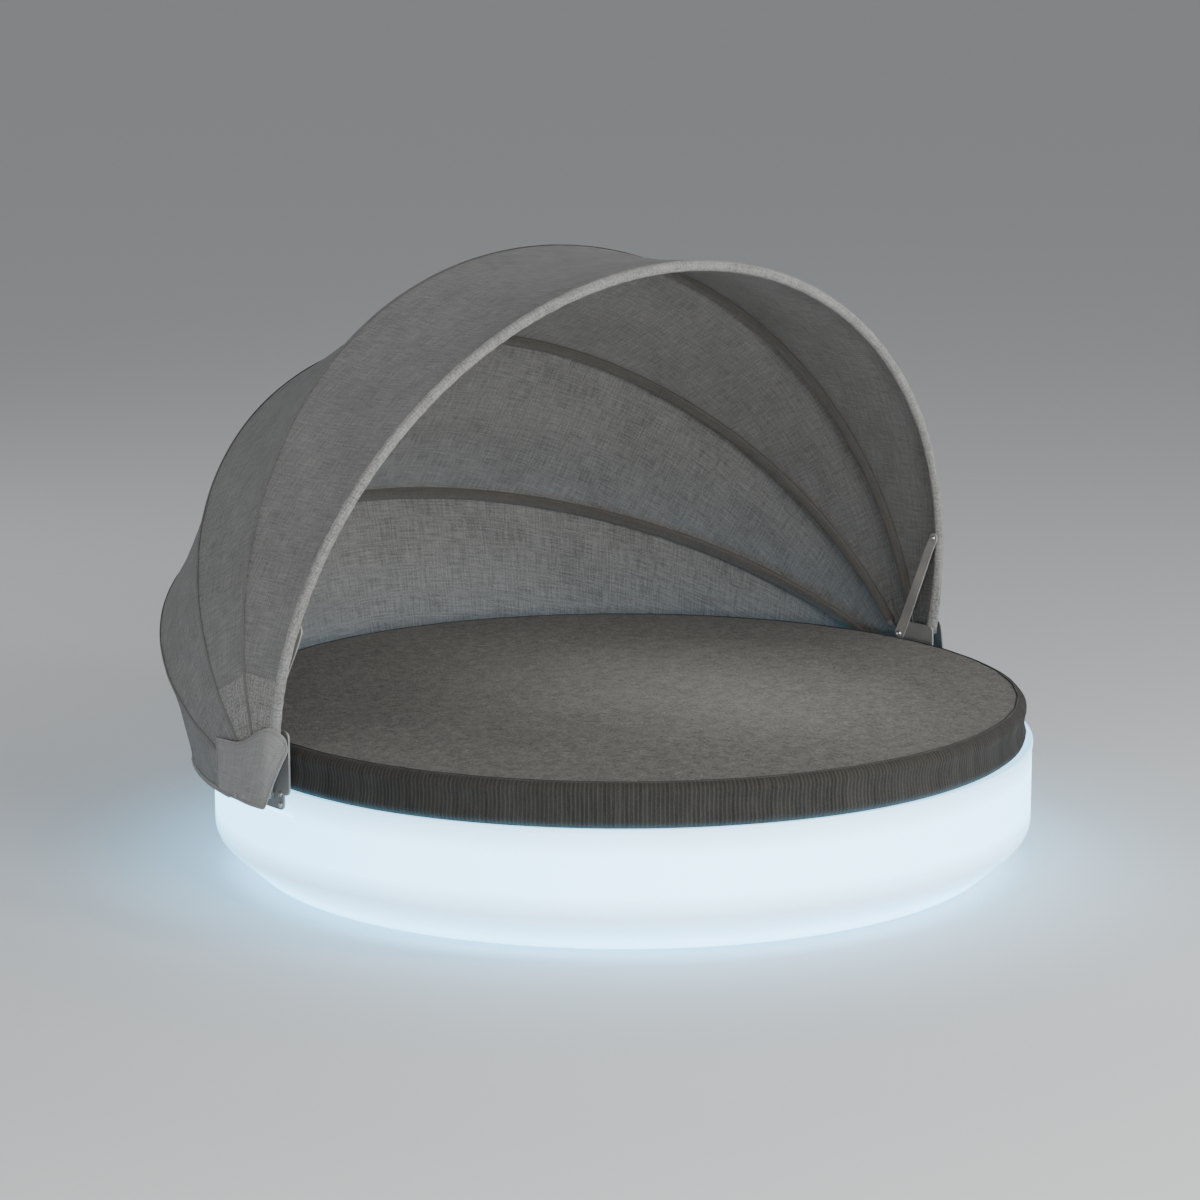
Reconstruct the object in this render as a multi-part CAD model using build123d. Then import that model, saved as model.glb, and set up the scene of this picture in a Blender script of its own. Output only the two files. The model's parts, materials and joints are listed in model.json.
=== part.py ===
# Round outdoor daybed with a glowing moulded base, a round mattress and a folding fabric canopy
# Millimetres. The origin is on the floor at the base's axis, +Z up, X along the canopy's pivot axis,
# -Y towards the open front

from build123d import *
from math import acos, asin, atan2, cos, degrees, hypot, pi, radians, sin, sqrt, tan
import os

# Base shell
base_radius = 1050.0
base_height = 319.0
slope_width = 103.0
slope_height = 93.0
shell_wall = 6.0
corner_round = 50.0
foot_round = 25.0
lip_height = 12.0
lip_depth = 2.0
ridge_width = 14.0
ridge_round = 3.0
deck_drop = 10.0

# Moulded cones that hold the deck up
cone_rings = 2
cones_per_ring_step = 5
cone_ring_share = 0.35
cone_foot_radius = 62.0
cone_head_radius = 34.0

# Rubber foot ring and its screws
foot_height = 8.0
foot_ring_inset = 95.0
foot_ring_width = 60.0
foot_screw_count = 8
foot_screw_radius = 3.0
foot_screw_length = 16.0
foot_screw_head_radius = 6.0
foot_screw_head_height = 3.0
foot_screw_recess = 2.0

# Lamp under the base
lamp_seat_radius = 192.0
lamp_seat_width = 52.0
lamp_seat_depth = 12.0
lamp_cover_thickness = 6.0
lamp_cover_gap = 4.0
gasket_thickness = 1.6
gasket_width = 18.0
cover_screw_radius = 2.5
cover_screw_length = 18.0
cover_screw_head_radius = 5.0
cover_screw_head_height = 2.4
cover_screw_count = 8
driver_share = 0.86
driver_height = 28.0
driver_round = 4.0
board_share = 0.7
board_thickness = 2.0
standoff_height = 36.0
standoff_radius = 4.0
standoff_count = 4
led_size = 5.0
led_height = 1.6
led_rings = 3
leds_per_ring_step = 8
dome_gap = 10.0
dome_share = 0.73
dome_wall = 3.0
socket_radius = 14.0
socket_length = 24.0
socket_share = 0.54
socket_bore_radius = 8.0
socket_bore_depth = 14.0
cap_flange_radius = 16.0
cap_thickness = 2.0

# Mattress
mattress_gap = 18.0
mattress_rise = 104.0
mattress_crown = 8.0
mattress_draw = 5.0
mattress_edge = 24.0
cover_cloth = 2.0
piping_radius = 2.5
piping_bite = 0.9
piping_lean = 45.0
grip_radius = 60.0
grip_thickness = 1.6
grip_ring_share = 0.68
grip_count = 6
zip_height = 22.0
zip_thickness = 1.4
zip_angle = 120.0
zip_slider_length = 34.0
zip_slider_height = 12.0
zip_slider_thickness = 4.0

# Canopy axis and hoops
pivot_back = 40.0
pivot_drop = 20.0
hoop_gap = 16.0
leg_length = 195.0
tube_radius = 10.0
tube_wall = 1.5
front_angle = 77.7
hoop_step = 26.9
moving_hoops = 4

# Hoop end fittings, stacked along the pivot bolt
tongue_thickness = 4.0
tongue_width = 22.0
tongue_pitch = 4.8
collar_length = 14.0
plug_length = 22.0
plug_clearance = 0.3

# Fabric
sleeve_clearance = 0.2
sleeve_cloth = 1.0
cloth_clearance = 0.3
canopy_cloth = 1.2
panel_sag = 12.0
panel_start = 60.0
rear_panel_start = 130.0
rear_hem_height = 12.0
seam_points = 61
span_points = 7

# Rear hoop round the back of the base
rear_hoop_gap = 35.0
rear_drop = 16.0
rear_tongue_length = 110.0
clip_count = 3
clip_width = 20.0
clip_wall = 3.2
clip_foot_width = 62.0
clip_foot_height = 26.0
clip_foot_thickness = 4.0
clip_screw_radius = 2.5
clip_screw_length = 14.0
clip_screw_head_radius = 4.5
clip_screw_head_height = 2.6
clip_screw_spacing = 48.0
rear_seam_clearance = 1.4

# Hub brackets on the base wall
pad_inset = 8.0
pad_wall = 10.0
pad_width = 168.0
pad_depth = 62.0
bracket_thickness = 5.0
bracket_width = 140.0
bracket_foot_width = 92.0
bracket_lift = 6.0
bracket_below = 34.0
bracket_above = 165.0
bracket_round = 16.0
bracket_bolt_radius = 4.0
bracket_bolt_length = 16.0
bracket_bolt_head_radius = 6.5
bracket_bolt_head_height = 4.6
bracket_bolt_spacing = 66.0
bracket_bolt_rise = 28.0
bracket_bolt_drop = 8.0
insert_radius = 6.0
insert_length = 8.0

# Pivot bolt
bolt_radius = 6.0
bolt_shoulder_radius = 10.0
bolt_head_radius = 11.0
bolt_head_height = 6.0
bolt_overrun = 1.4
washer_radius = 11.0
washer_slack = 0.1
outer_washer_thickness = 1.6
nut_radius = 10.5
nut_height = 8.0
running_clearance = 0.05

# Stays between the front hoop and the brackets
stay_thickness = 3.0
stay_top_radius = 13.0
stay_foot_radius = 17.0
stay_pin_reach = 425.0
stay_pin_radius = 3.0
stay_pin_head_radius = 6.0
stay_pin_head_height = 4.0
stay_pin_depth = 10.0
stay_gap = 0.6
stay_flat = 40.0
stud_back = 60.0
stud_rise = 128.0
stud_radius = 4.0
stud_head_radius = 8.0
stud_head_height = 5.0
stud_nut_radius = 7.5
stud_nut_height = 5.0
stud_clearance = 0.6

# Hub flaps and the posts of the studs that hold them
post_radius = 5.0
post_cap_radius = 7.0
post_cap_height = 2.0
post_places_back = (45.0, 85.0)
flap_cloth = 1.5
flap_clearance = 3.0
flap_low_front = 50.0
flap_front = 90.0
flap_front_rise = 125.0
flap_nose_front = 80.0
flap_nose_rise = 158.0
flap_peak_front = 48.0
flap_peak_rise = 176.0
flap_slope_front = 2.0
flap_slope_rise = 163.0
flap_neck_back = 64.0
flap_neck_rise = 127.0
flap_back_rise = 111.0
flap_below = 23.0
flap_round = 12.0
flap_wrap_start = 28.0
flap_wrap_depth = 30.0
flap_points = 15

# Folding
folded_gap = 7.0
folded_rear_angle = 173.0
slot_steps = 9

# One overrun serves all cuts
overrun = 5.0

# Heights and places that follow
rim_z = foot_height + base_height
deck_z = rim_z - deck_drop
pivot_y = pivot_back
pivot_z = rim_z - pivot_drop
pad_x = base_radius - pad_inset
wall_radius = base_radius - lip_depth
foot_radius = wall_radius - slope_width
foot_ring_radius = foot_radius - foot_ring_inset
cone_ring_spacing = foot_radius * cone_ring_share
hoop_radius = base_radius + hoop_gap
rear_radius = base_radius + rear_hoop_gap
ridge_radius = base_radius - ridge_width
lamp_seat_z = foot_height + lamp_seat_depth
lamp_opening_radius = lamp_seat_radius - lamp_seat_width
dome_radius = lamp_opening_radius - dome_gap
dome_height = dome_radius * dome_share
board_radius = dome_radius * board_share
driver_length = lamp_opening_radius * driver_share
driver_width = driver_length / 2
socket_offset = lamp_opening_radius * socket_share
cover_radius = lamp_seat_radius - lamp_cover_gap
gasket_radius = lamp_opening_radius + gasket_width + lamp_cover_gap
cover_screw_ring = (gasket_radius + cover_radius) / 2
cover_top_z = lamp_seat_z - gasket_thickness
cover_bottom_z = cover_top_z - lamp_cover_thickness
bracket_face_x = pad_x + bracket_thickness
sleeve_radius = tube_radius + sleeve_clearance + sleeve_cloth
seam_offset = sleeve_radius + cloth_clearance
rear_seam_offset = sleeve_radius + sleeve_clearance + clip_wall + rear_seam_clearance
panel_x = hoop_radius + seam_offset
front_travel = folded_rear_angle - folded_gap * (moving_hoops - 1) - front_angle
mattress_radius = base_radius - mattress_gap
grip_ring_radius = mattress_radius * grip_ring_share
mattress_bottom_z = deck_z + grip_thickness
mattress_top_z = rim_z + mattress_rise
rear_tube_z = pivot_z - rear_drop
sides = (("left", -1), ("right", 1))


def hoop_angle(place):
    return front_angle + hoop_step * place


def tongue_x(place):
    return hoop_radius + (place - (moving_hoops - 1) / 2) * tongue_pitch


rear_tongue_x = tongue_x(moving_hoops)
stay_rise = stay_pin_reach + stay_top_radius - leg_length
hem_outer = sleeve_radius + cloth_clearance + canopy_cloth
stay_top_x = sqrt(hoop_radius**2 - stay_rise**2) - hem_outer - stay_gap
stay_foot_x = pad_x - stay_gap


def x_cylinder(radius, x_start, x_end, y=0.0, z=0.0):
    length = x_end - x_start
    place = Plane(origin=(x_start, y, z), x_dir=(0, 1, 0), z_dir=(1, 0, 0))
    return place * Cylinder(radius, length, align=(Align.CENTER, Align.CENTER, Align.MIN))


def x_prism(sketch, x_start, x_end):
    place = Plane(origin=(x_start, 0, 0), x_dir=(0, 1, 0), z_dir=(1, 0, 0))
    return extrude(place * sketch, x_end - x_start)


def z_cylinder(radius, z_start, z_end, x=0.0, y=0.0):
    return Pos(x, y, z_start) * Cylinder(
        radius, z_end - z_start, align=(Align.CENTER, Align.CENTER, Align.MIN)
    )


def hex_x(radius, x_start, x_end, y=0.0, z=0.0):
    return x_prism(Pos(y, z) * RegularPolygon(radius, 6), x_start, x_end)


def ring_places(radius, count):
    for step in range(count):
        angle = radians(360.0 * step / count)
        yield radius * cos(angle), radius * sin(angle)


def turned(points):
    outline = make_face(Polyline(*points, close=True))
    return revolve(Plane.XZ * outline, Axis.Z)


def turned_face(face):
    return revolve(Plane.XZ * face, Axis.Z)


def rounded(face, corners):
    for corner, radius in corners:
        vertex = face.vertices().sort_by_distance(Vector(*corner, 0))[0]
        face = fillet(vertex, radius)
    return face


def at_pivot(piece, angle):
    return Pos(0, pivot_y, pivot_z) * Rot(90.0 - angle, 0, 0) * piece


def fold_place(reach, angle):
    turn = radians(angle)
    return pivot_y - reach * cos(turn), pivot_z + reach * sin(turn)


# Base shell

def shell_outline(inset):
    slope = atan2(slope_height, wall_radius - foot_radius)
    shift = inset * tan(slope / 2)
    bend = inset * tan((pi / 2 - slope) / 2)
    points = [
        (0, lamp_seat_z + inset),
        (lamp_seat_radius + inset, lamp_seat_z + inset),
        (lamp_seat_radius + inset, foot_height + inset),
        (foot_radius - shift, foot_height + inset),
        (wall_radius - inset, foot_height + slope_height + bend),
        (wall_radius - inset, deck_z - inset),
        (0, deck_z - inset),
    ]
    face = make_face(Polyline(*points, close=True))
    return rounded(face, [(points[3], foot_round), (points[4], corner_round)])


def base_shell():
    shell = turned_face(shell_outline(0.0))
    lip = turned([
        (ridge_radius, deck_z - shell_wall),
        (wall_radius, deck_z - shell_wall),
        (wall_radius, rim_z - lip_height),
        (base_radius, rim_z - lip_height),
        (base_radius, rim_z),
        (ridge_radius, rim_z),
    ])
    rims = lip.edges().filter_by(GeomType.CIRCLE).group_by(Axis.Z)[-1]
    shell = shell + fillet(rims, ridge_round)
    hollow = turned_face(shell_outline(shell_wall))
    pad_bottom = rim_z - pad_depth
    for _, side in sides:
        block_x = pad_x - pad_wall
        block = Box(
            base_radius - block_x, pad_width + shell_wall, rim_z - pad_bottom + shell_wall,
            align=(Align.MIN, Align.CENTER, Align.MIN),
        )
        hollow = hollow - Rot(0, 0, 90 - 90 * side) * Pos(
            block_x, side * pivot_y, pad_bottom - shell_wall
        ) * block
    floor_z = foot_height
    for ring in range(1, cone_rings + 1):
        places = ring_places(cone_ring_spacing * ring, cones_per_ring_step * ring)
        for x, y in places:
            hollow = hollow - Pos(x, y, (floor_z + deck_z) / 2) * Cone(
                cone_foot_radius, cone_head_radius, deck_z - floor_z
            )
    shell = shell - hollow
    for ring in range(1, cone_rings + 1):
        places = ring_places(cone_ring_spacing * ring, cones_per_ring_step * ring)
        for x, y in places:
            shell = shell - Pos(x, y, (floor_z + deck_z - shell_wall) / 2) * Cone(
                cone_foot_radius - shell_wall, cone_head_radius - shell_wall,
                deck_z - shell_wall - floor_z
            )
    shell = shell - z_cylinder(lamp_opening_radius, floor_z, lamp_seat_z + shell_wall + overrun)
    for x, y in ring_places(cover_screw_ring, cover_screw_count):
        shell = shell - z_cylinder(cover_screw_radius, floor_z, lamp_seat_z + shell_wall, x, y)
    for x, y in ring_places(foot_ring_radius, foot_screw_count):
        shell = shell - z_cylinder(foot_screw_radius, 0, foot_height + shell_wall + overrun, x, y)
    for _, side in sides:
        cut = Box(
            pad_inset + overrun, pad_width, pad_depth + overrun,
            align=(Align.MIN, Align.CENTER, Align.MIN),
        )
        turn = Rot(0, 0, 90 - 90 * side)
        shell = shell - turn * Pos(pad_x, side * pivot_y, pad_bottom) * cut
        pocket_x = pad_x - bolt_head_height - running_clearance
        shell = shell - side_piece(
            x_cylinder(bolt_head_radius + plug_clearance, pocket_x, pad_x + overrun, pivot_y, pivot_z),
            side,
        )
        for y, z in bracket_bolt_places():
            bore = x_cylinder(insert_radius, pad_x - insert_length, pad_x + overrun, y, z)
            shell = shell - side_piece(bore, side)
    for turn in clip_turns():
        for offset in (-clip_screw_spacing / 2, clip_screw_spacing / 2):
            bore = x_cylinder(
                clip_screw_radius, base_radius - clip_screw_length, base_radius + overrun,
                offset, rear_tube_z,
            )
            shell = shell - Rot(0, 0, turn) * bore
    return shell


def side_piece(piece, side):
    if side > 0:
        return piece
    return mirror(piece, Plane.YZ)


def bracket_bolt_places():
    low = pivot_z - bracket_bolt_drop - bracket_bolt_rise / 2
    for y in (-bracket_bolt_spacing / 2, bracket_bolt_spacing / 2):
        for z in (low, low + bracket_bolt_rise):
            yield pivot_y + y, z


def clip_turns():
    for step in range(clip_count):
        yield 180.0 * (step + 1) / (clip_count + 1)


def rubber_foot_ring():
    ring = z_cylinder(foot_ring_radius + foot_ring_width / 2, 0, foot_height)
    ring = ring - z_cylinder(foot_ring_radius - foot_ring_width / 2, 0, foot_height)
    for x, y in ring_places(foot_ring_radius, foot_screw_count):
        head_top = foot_screw_recess + foot_screw_head_height
        ring = ring - z_cylinder(foot_screw_head_radius + running_clearance, 0, head_top, x, y)
        ring = ring - z_cylinder(foot_screw_radius + running_clearance, 0, foot_height, x, y)
    return ring


def foot_screws():
    screws = Part()
    for x, y in ring_places(foot_ring_radius, foot_screw_count):
        head_top = foot_screw_recess + foot_screw_head_height
        screws = screws + z_cylinder(foot_screw_head_radius, foot_screw_recess, head_top, x, y)
        screws = screws + z_cylinder(
            foot_screw_radius, foot_screw_recess, foot_screw_recess + foot_screw_length, x, y
        )
    return screws


# Lamp

def lamp_cover():
    cover = z_cylinder(cover_radius, cover_bottom_z, cover_top_z)
    for x, y in ring_places(cover_screw_ring, cover_screw_count):
        cover = cover - z_cylinder(cover_screw_radius, 0, lamp_seat_z, x, y)
    return cover - z_cylinder(socket_radius, 0, lamp_seat_z, *socket_place())


def lamp_gasket():
    ring = z_cylinder(gasket_radius, cover_top_z, lamp_seat_z)
    return ring - z_cylinder(gasket_radius - gasket_width, cover_top_z, lamp_seat_z)


def lamp_cover_screws():
    screws = Part()
    head_z = cover_bottom_z - cover_screw_head_height
    for x, y in ring_places(cover_screw_ring, cover_screw_count):
        screws = screws + z_cylinder(cover_screw_head_radius, head_z, cover_bottom_z, x, y)
        screws = screws + z_cylinder(
            cover_screw_radius, head_z, head_z + cover_screw_length, x, y
        )
    return screws


def driver_box():
    body = Pos(0, 0, cover_top_z) * Box(
        driver_length, driver_width, driver_height, align=(Align.CENTER, Align.CENTER, Align.MIN)
    )
    return fillet(body.edges().filter_by(Axis.Z), driver_round)


def board_standoffs():
    posts = Part()
    ring = board_radius - standoff_radius * 3
    for x, y in ring_places(ring, standoff_count):
        posts = posts + z_cylinder(standoff_radius, cover_top_z, cover_top_z + standoff_height, x, y)
    return posts


def lamp_board():
    bottom = cover_top_z + standoff_height
    return z_cylinder(board_radius, bottom, bottom + board_thickness)


def lamp_leds():
    bottom = cover_top_z + standoff_height + board_thickness
    leds = Part()
    for ring in range(1, led_rings + 1):
        radius = board_radius * ring / (led_rings + 1)
        for x, y in ring_places(radius, leds_per_ring_step * ring):
            leds = leds + Pos(x, y, bottom + led_height / 2) * Box(led_size, led_size, led_height)
    return leds


def cap_arc(radius, bottom, rise):
    # An arc of a circle centred on the base's axis, from the edge up to the crown
    bend = (radius**2 + rise**2) / (2 * rise)
    drop = bend - sqrt(bend**2 - (radius / 2) ** 2)
    return ThreePointArc((radius, bottom), (radius / 2, bottom + rise - drop), (0, bottom + rise))


def dome_face(radius, height):
    wire = Line((0, 0), (radius, 0)) + cap_arc(radius, 0, height) + Line((0, height), (0, 0))
    return make_face(wire)


def lamp_diffuser():
    outer = turned_face(dome_face(dome_radius, dome_height))
    inner = turned_face(dome_face(dome_radius - dome_wall, dome_height - dome_wall))
    return Pos(0, 0, cover_top_z) * (outer - inner)


def socket_place():
    return socket_offset * cos(pi / 4), socket_offset * sin(pi / 4)


def power_socket():
    x, y = socket_place()
    body = z_cylinder(socket_radius, cover_bottom_z, cover_bottom_z + socket_length, x, y)
    return body - z_cylinder(
        socket_bore_radius, cover_bottom_z, cover_bottom_z + socket_bore_depth, x, y
    )


def socket_cap():
    x, y = socket_place()
    flange = z_cylinder(cap_flange_radius, cover_bottom_z - cap_thickness, cover_bottom_z, x, y)
    return flange + z_cylinder(
        socket_bore_radius - running_clearance, cover_bottom_z - cap_thickness,
        cover_bottom_z + socket_bore_depth / 2, x, y
    )


# Mattress

def cushion_face(shrink):
    radius = mattress_radius - shrink
    bottom = mattress_bottom_z + shrink
    top = mattress_top_z - shrink
    middle = (bottom + top) / 2
    edge = mattress_edge
    lines = [
        Line((0, bottom), (radius - edge, bottom)),
        TangentArc((radius - edge, bottom), (radius, bottom + edge), tangent=(1, 0)),
        ThreePointArc((radius, bottom + edge), (radius - mattress_draw, middle), (radius, top - edge)),
        TangentArc((radius, top - edge), (radius - edge, top), tangent=(0, 1)),
        cap_arc(radius - edge, top, mattress_crown),
        Line((0, top + mattress_crown), (0, bottom)),
    ]
    wire = lines[0]
    for line in lines[1:]:
        wire = wire + line
    return make_face(wire)


def piping_section(radius):
    # Along the seam, on the rounded edge
    reach = mattress_edge + piping_radius - piping_bite
    turn = radians(piping_lean)
    place = Pos(
        mattress_radius - mattress_edge + reach * sin(turn),
        mattress_top_z - mattress_edge + reach * cos(turn),
    )
    return place * Circle(radius)


def zip_ring(extra):
    middle = (mattress_bottom_z + mattress_top_z) / 2
    inner = mattress_radius - mattress_draw - zip_thickness / 2
    face = Pos(inner, middle - zip_height / 2 - extra) * Rectangle(
        zip_thickness, zip_height + 2 * extra, align=(Align.MIN, Align.MIN)
    )
    band = revolve(Plane.XZ * face, Axis.Z, zip_angle)
    return Rot(0, 0, 90 - zip_angle / 2) * band


def mattress_core():
    return turned_face(cushion_face(cover_cloth + running_clearance))


def mattress_cover():
    wall = cushion_face(0.0) - cushion_face(cover_cloth)
    wall = wall - piping_section(piping_radius + cloth_clearance)
    return turned_face(wall) - zip_ring(running_clearance)


def zip_slider():
    middle = (mattress_bottom_z + mattress_top_z) / 2
    inner = mattress_radius - mattress_draw + zip_thickness / 2
    slider = Pos(inner, 0, middle) * Box(
        zip_slider_thickness, zip_slider_length, zip_slider_height,
        align=(Align.MIN, Align.CENTER, Align.CENTER),
    )
    slider = fillet(slider.edges().filter_by(Axis.X), zip_slider_height / 4)
    turn = 90 - zip_angle / 2 + degrees(zip_slider_length / inner)
    return Rot(0, 0, turn) * slider


def mattress_grips():
    grips = Part()
    for x, y in ring_places(grip_ring_radius, grip_count):
        grips = grips + z_cylinder(grip_radius, deck_z, deck_z + grip_thickness, x, y)
    return grips


# Hoops

def half_ring(section):
    # A half torus in the hoop's own plane, from one leg over the crown to the other
    place = Plane(origin=(hoop_radius, 0, leg_length), x_dir=(1, 0, 0), z_dir=(0, 0, -1))
    axis = Axis((0, 0, leg_length), (0, 1, 0))
    return revolve(place * section, axis, -180.0)


def tube_section(outer, inner):
    return Circle(outer) - Circle(inner)


def stay_pin_bore(side):
    y, z = fold_place(stay_pin_reach, front_angle)
    bore = x_cylinder(
        stay_pin_radius + running_clearance, stay_top_x - overrun, hoop_radius, y, z
    )
    return side_piece(bore, side)


def hoop_tube(angle):
    return at_pivot(half_ring(tube_section(tube_radius, tube_radius - tube_wall)), angle)


def hoop_sleeve(angle):
    return at_pivot(half_ring(tube_section(sleeve_radius, tube_radius + sleeve_clearance)), angle)


def hoop_ends(place, angle):
    x = tongue_x(place)
    outline = Pos(0, leg_length - collar_length) * Rectangle(
        tongue_width, leg_length - collar_length, align=(Align.CENTER, Align.MAX)
    ) + Circle(tongue_width / 2)
    blade = x_prism(outline, x - tongue_thickness / 2, x + tongue_thickness / 2)
    blade = blade + z_cylinder(tube_radius, leg_length - collar_length, leg_length, hoop_radius)
    blade = blade + z_cylinder(
        tube_radius - tube_wall - plug_clearance, leg_length - collar_length,
        leg_length + plug_length, hoop_radius
    )
    blade = blade - x_cylinder(
        bolt_radius + running_clearance, x - tongue_thickness, x + tongue_thickness
    )
    return at_pivot(blade + side_piece(blade, -1), angle)


def front_hem():
    keep = Pos(0, cloth_clearance + hem_outer) * Rectangle(4 * hem_outer, 2 * hem_outer)
    section = tube_section(hem_outer, seam_offset) & keep
    hem = half_ring(section)
    if hem.center().Y > 0:
        hem = mirror(hem, Plane.XZ)
    hem = at_pivot(hem, front_angle)
    for _, side in sides:
        hem = hem - stay_pin_bore(side)
    return hem


def rear_start_angle():
    return degrees(asin((pivot_y + rear_tongue_length) / rear_radius))


def rear_ring(section):
    start = rear_start_angle()
    face = Plane.XZ * Pos(rear_radius, rear_tube_z) * section
    ring = revolve(face, Axis.Z, 180.0 - 2 * start)
    return Rot(0, 0, start) * ring


def rear_ends():
    start = radians(rear_start_angle())
    x = rear_tongue_x
    reach = rear_tongue_length - collar_length / 2
    blade = x_prism(
        Rectangle(reach, tongue_width, align=(Align.MIN, Align.CENTER)) + Circle(tongue_width / 2),
        x - tongue_thickness / 2, x + tongue_thickness / 2,
    )
    drop = degrees(asin(rear_drop / rear_tongue_length))
    blade = Pos(0, pivot_y, pivot_z) * Rot(-drop, 0, 0) * blade
    spot = Plane(
        origin=(rear_radius * cos(start), rear_radius * sin(start), rear_tube_z),
        x_dir=(0, 0, 1), z_dir=(-sin(start), cos(start), 0),
    )
    collar = Pos(0, 0, -collar_length) * Cylinder(
        tube_radius, collar_length, align=(Align.CENTER, Align.CENTER, Align.MIN)
    )
    plug = Pos(0, 0, -collar_length) * Cylinder(
        tube_radius - tube_wall - plug_clearance, collar_length + plug_length,
        align=(Align.CENTER, Align.CENTER, Align.MIN),
    )
    blade = blade + spot * (collar + plug)
    blade = blade - x_cylinder(
        bolt_radius + running_clearance, x - tongue_thickness, x + tongue_thickness, pivot_y, pivot_z
    )
    return blade + side_piece(blade, -1)


def hoop_clips():
    clips = Part()
    hold = sleeve_radius + sleeve_clearance
    for turn in clip_turns():
        foot = Pos(base_radius, 0, rear_tube_z) * Box(
            clip_foot_thickness, clip_foot_width, clip_foot_height,
            align=(Align.MIN, Align.CENTER, Align.CENTER),
        )
        arm = Pos(base_radius, 0, rear_tube_z) * Box(
            rear_radius - base_radius, clip_width, hold + clip_wall,
            align=(Align.MIN, Align.CENTER, Align.CENTER),
        )
        spot = Plane(origin=(rear_radius, -clip_width / 2, rear_tube_z), z_dir=(0, 1, 0))
        eye = extrude(spot * Circle(hold + clip_wall), clip_width)
        clip = foot + arm + eye
        for offset in (-clip_screw_spacing / 2, clip_screw_spacing / 2):
            clip = clip - x_cylinder(
                clip_screw_radius, base_radius - overrun, rear_radius, offset, rear_tube_z
            )
        clips = clips + Rot(0, 0, turn) * clip
    return clips - rear_ring(Circle(hold))


def clip_screws():
    screws = Part()
    face_x = base_radius + clip_foot_thickness
    for turn in clip_turns():
        for offset in (-clip_screw_spacing / 2, clip_screw_spacing / 2):
            screw = x_cylinder(
                clip_screw_radius, face_x - clip_screw_length, face_x, offset, rear_tube_z
            )
            screw = screw + x_cylinder(
                clip_screw_head_radius, face_x, face_x + clip_screw_head_height, offset, rear_tube_z
            )
            screws = screws + Rot(0, 0, turn) * screw
    return screws


# Fabric panels

def crown_lean(place):
    # How far the cloth turns away from the hoop at its crown, which sets how high it has to lie
    reach = leg_length + hoop_radius
    if place < moving_hoops - 1:
        chord = 2 * reach * sin(radians(hoop_step) / 2)
        return radians(hoop_step) / 2 + atan2(4 * panel_sag, chord)
    angle = radians(hoop_angle(place))
    crown_y, crown_z = fold_place(reach, hoop_angle(place))
    run_y = rear_radius + rear_seam_offset - crown_y
    run_z = rear_tube_z - crown_z
    chord = hypot(run_y, run_z)
    along = (run_y * sin(angle) + run_z * cos(angle)) / chord
    return acos(along) + atan2(4 * panel_sag, chord)


def hoop_seam(place, start):
    # Points along a hoop's outer line, each with its turn round the hoop from the right leg
    crown_offset = seam_offset / cos(crown_lean(place))
    straight = leg_length - start
    total = 2 * straight + pi * hoop_radius
    angle = radians(hoop_angle(place))
    points = []
    for step in range(seam_points):
        run = total * step / (seam_points - 1)
        around = min(max((run - straight) / hoop_radius, 0.0), pi)
        lift = 1 - (1 - sin(around)) ** 2
        radius = hoop_radius + seam_offset + (crown_offset - seam_offset) * lift
        reach = leg_length + radius * sin(around)
        if run < straight:
            reach = start + run
        if total - run < straight:
            reach = start + total - run
        point = Vector(
            radius * cos(around), pivot_y - reach * cos(angle), pivot_z + reach * sin(angle)
        )
        points.append((point, around))
    return points


def rear_seam(start):
    radius = rear_radius + rear_seam_offset
    first = asin((pivot_y + start) / radius)
    points = []
    for step in range(seam_points):
        around = first + (pi - 2 * first) * step / (seam_points - 1)
        points.append((Vector(radius * cos(around), radius * sin(around), rear_tube_z), around))
    return points


def cloth_sheet(rows, thickness):
    face = Face.make_surface_from_array_of_points(rows)
    middle = face.normal_at(face.center())
    outward = face.center() - Vector(0, pivot_y, pivot_z)
    depth = thickness if middle.dot(outward) > 0 else -thickness
    return Solid.thicken(face, depth)


def canopy_panel(front_seam, back_seam):
    rows = []
    for (front, around), (back, _) in zip(front_seam, back_seam):
        chord = (back - front).length
        trim = cloth_clearance / chord
        middle = (front + back) / 2 - Vector(0, pivot_y, pivot_z)
        inward = -middle.normalized()
        row = []
        for step in range(span_points):
            share = trim + (1 - 2 * trim) * step / (span_points - 1)
            sag = panel_sag * 4 * share * (1 - share) * sin(around)
            row.append(front + (back - front) * share + inward * sag)
        rows.append(row)
    return cloth_sheet(rows, canopy_cloth)


def rear_hem():
    inner = rear_radius + rear_seam_offset
    start = degrees(asin((pivot_y + rear_panel_start) / inner))
    top = rear_tube_z - cloth_clearance
    face = Plane.XZ * Pos(inner, top) * Rectangle(
        canopy_cloth, rear_hem_height, align=(Align.MIN, Align.MAX)
    )
    band = revolve(face, Axis.Z, 180.0 - 2 * start)
    return Rot(0, 0, start) * band


def flap_face_x(y, z):
    # Where the flap's inner face is: upright over the hub, flared round the base lower down,
    # and wrapped inwards along its front
    low_z, top_z = pivot_z - flap_below, pivot_z + flap_peak_rise
    share = (z - low_z) / (top_z - low_z)
    top_x = panel_x + canopy_cloth + flap_clearance
    radius = rear_radius + rear_seam_offset + canopy_cloth + flap_clearance
    low_x = sqrt(radius**2 - y**2)
    wrap = max(0.0, pivot_y - flap_wrap_start - y) / (flap_front - flap_wrap_start)
    return low_x + (top_x - low_x) * share - flap_wrap_depth * wrap**2


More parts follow.
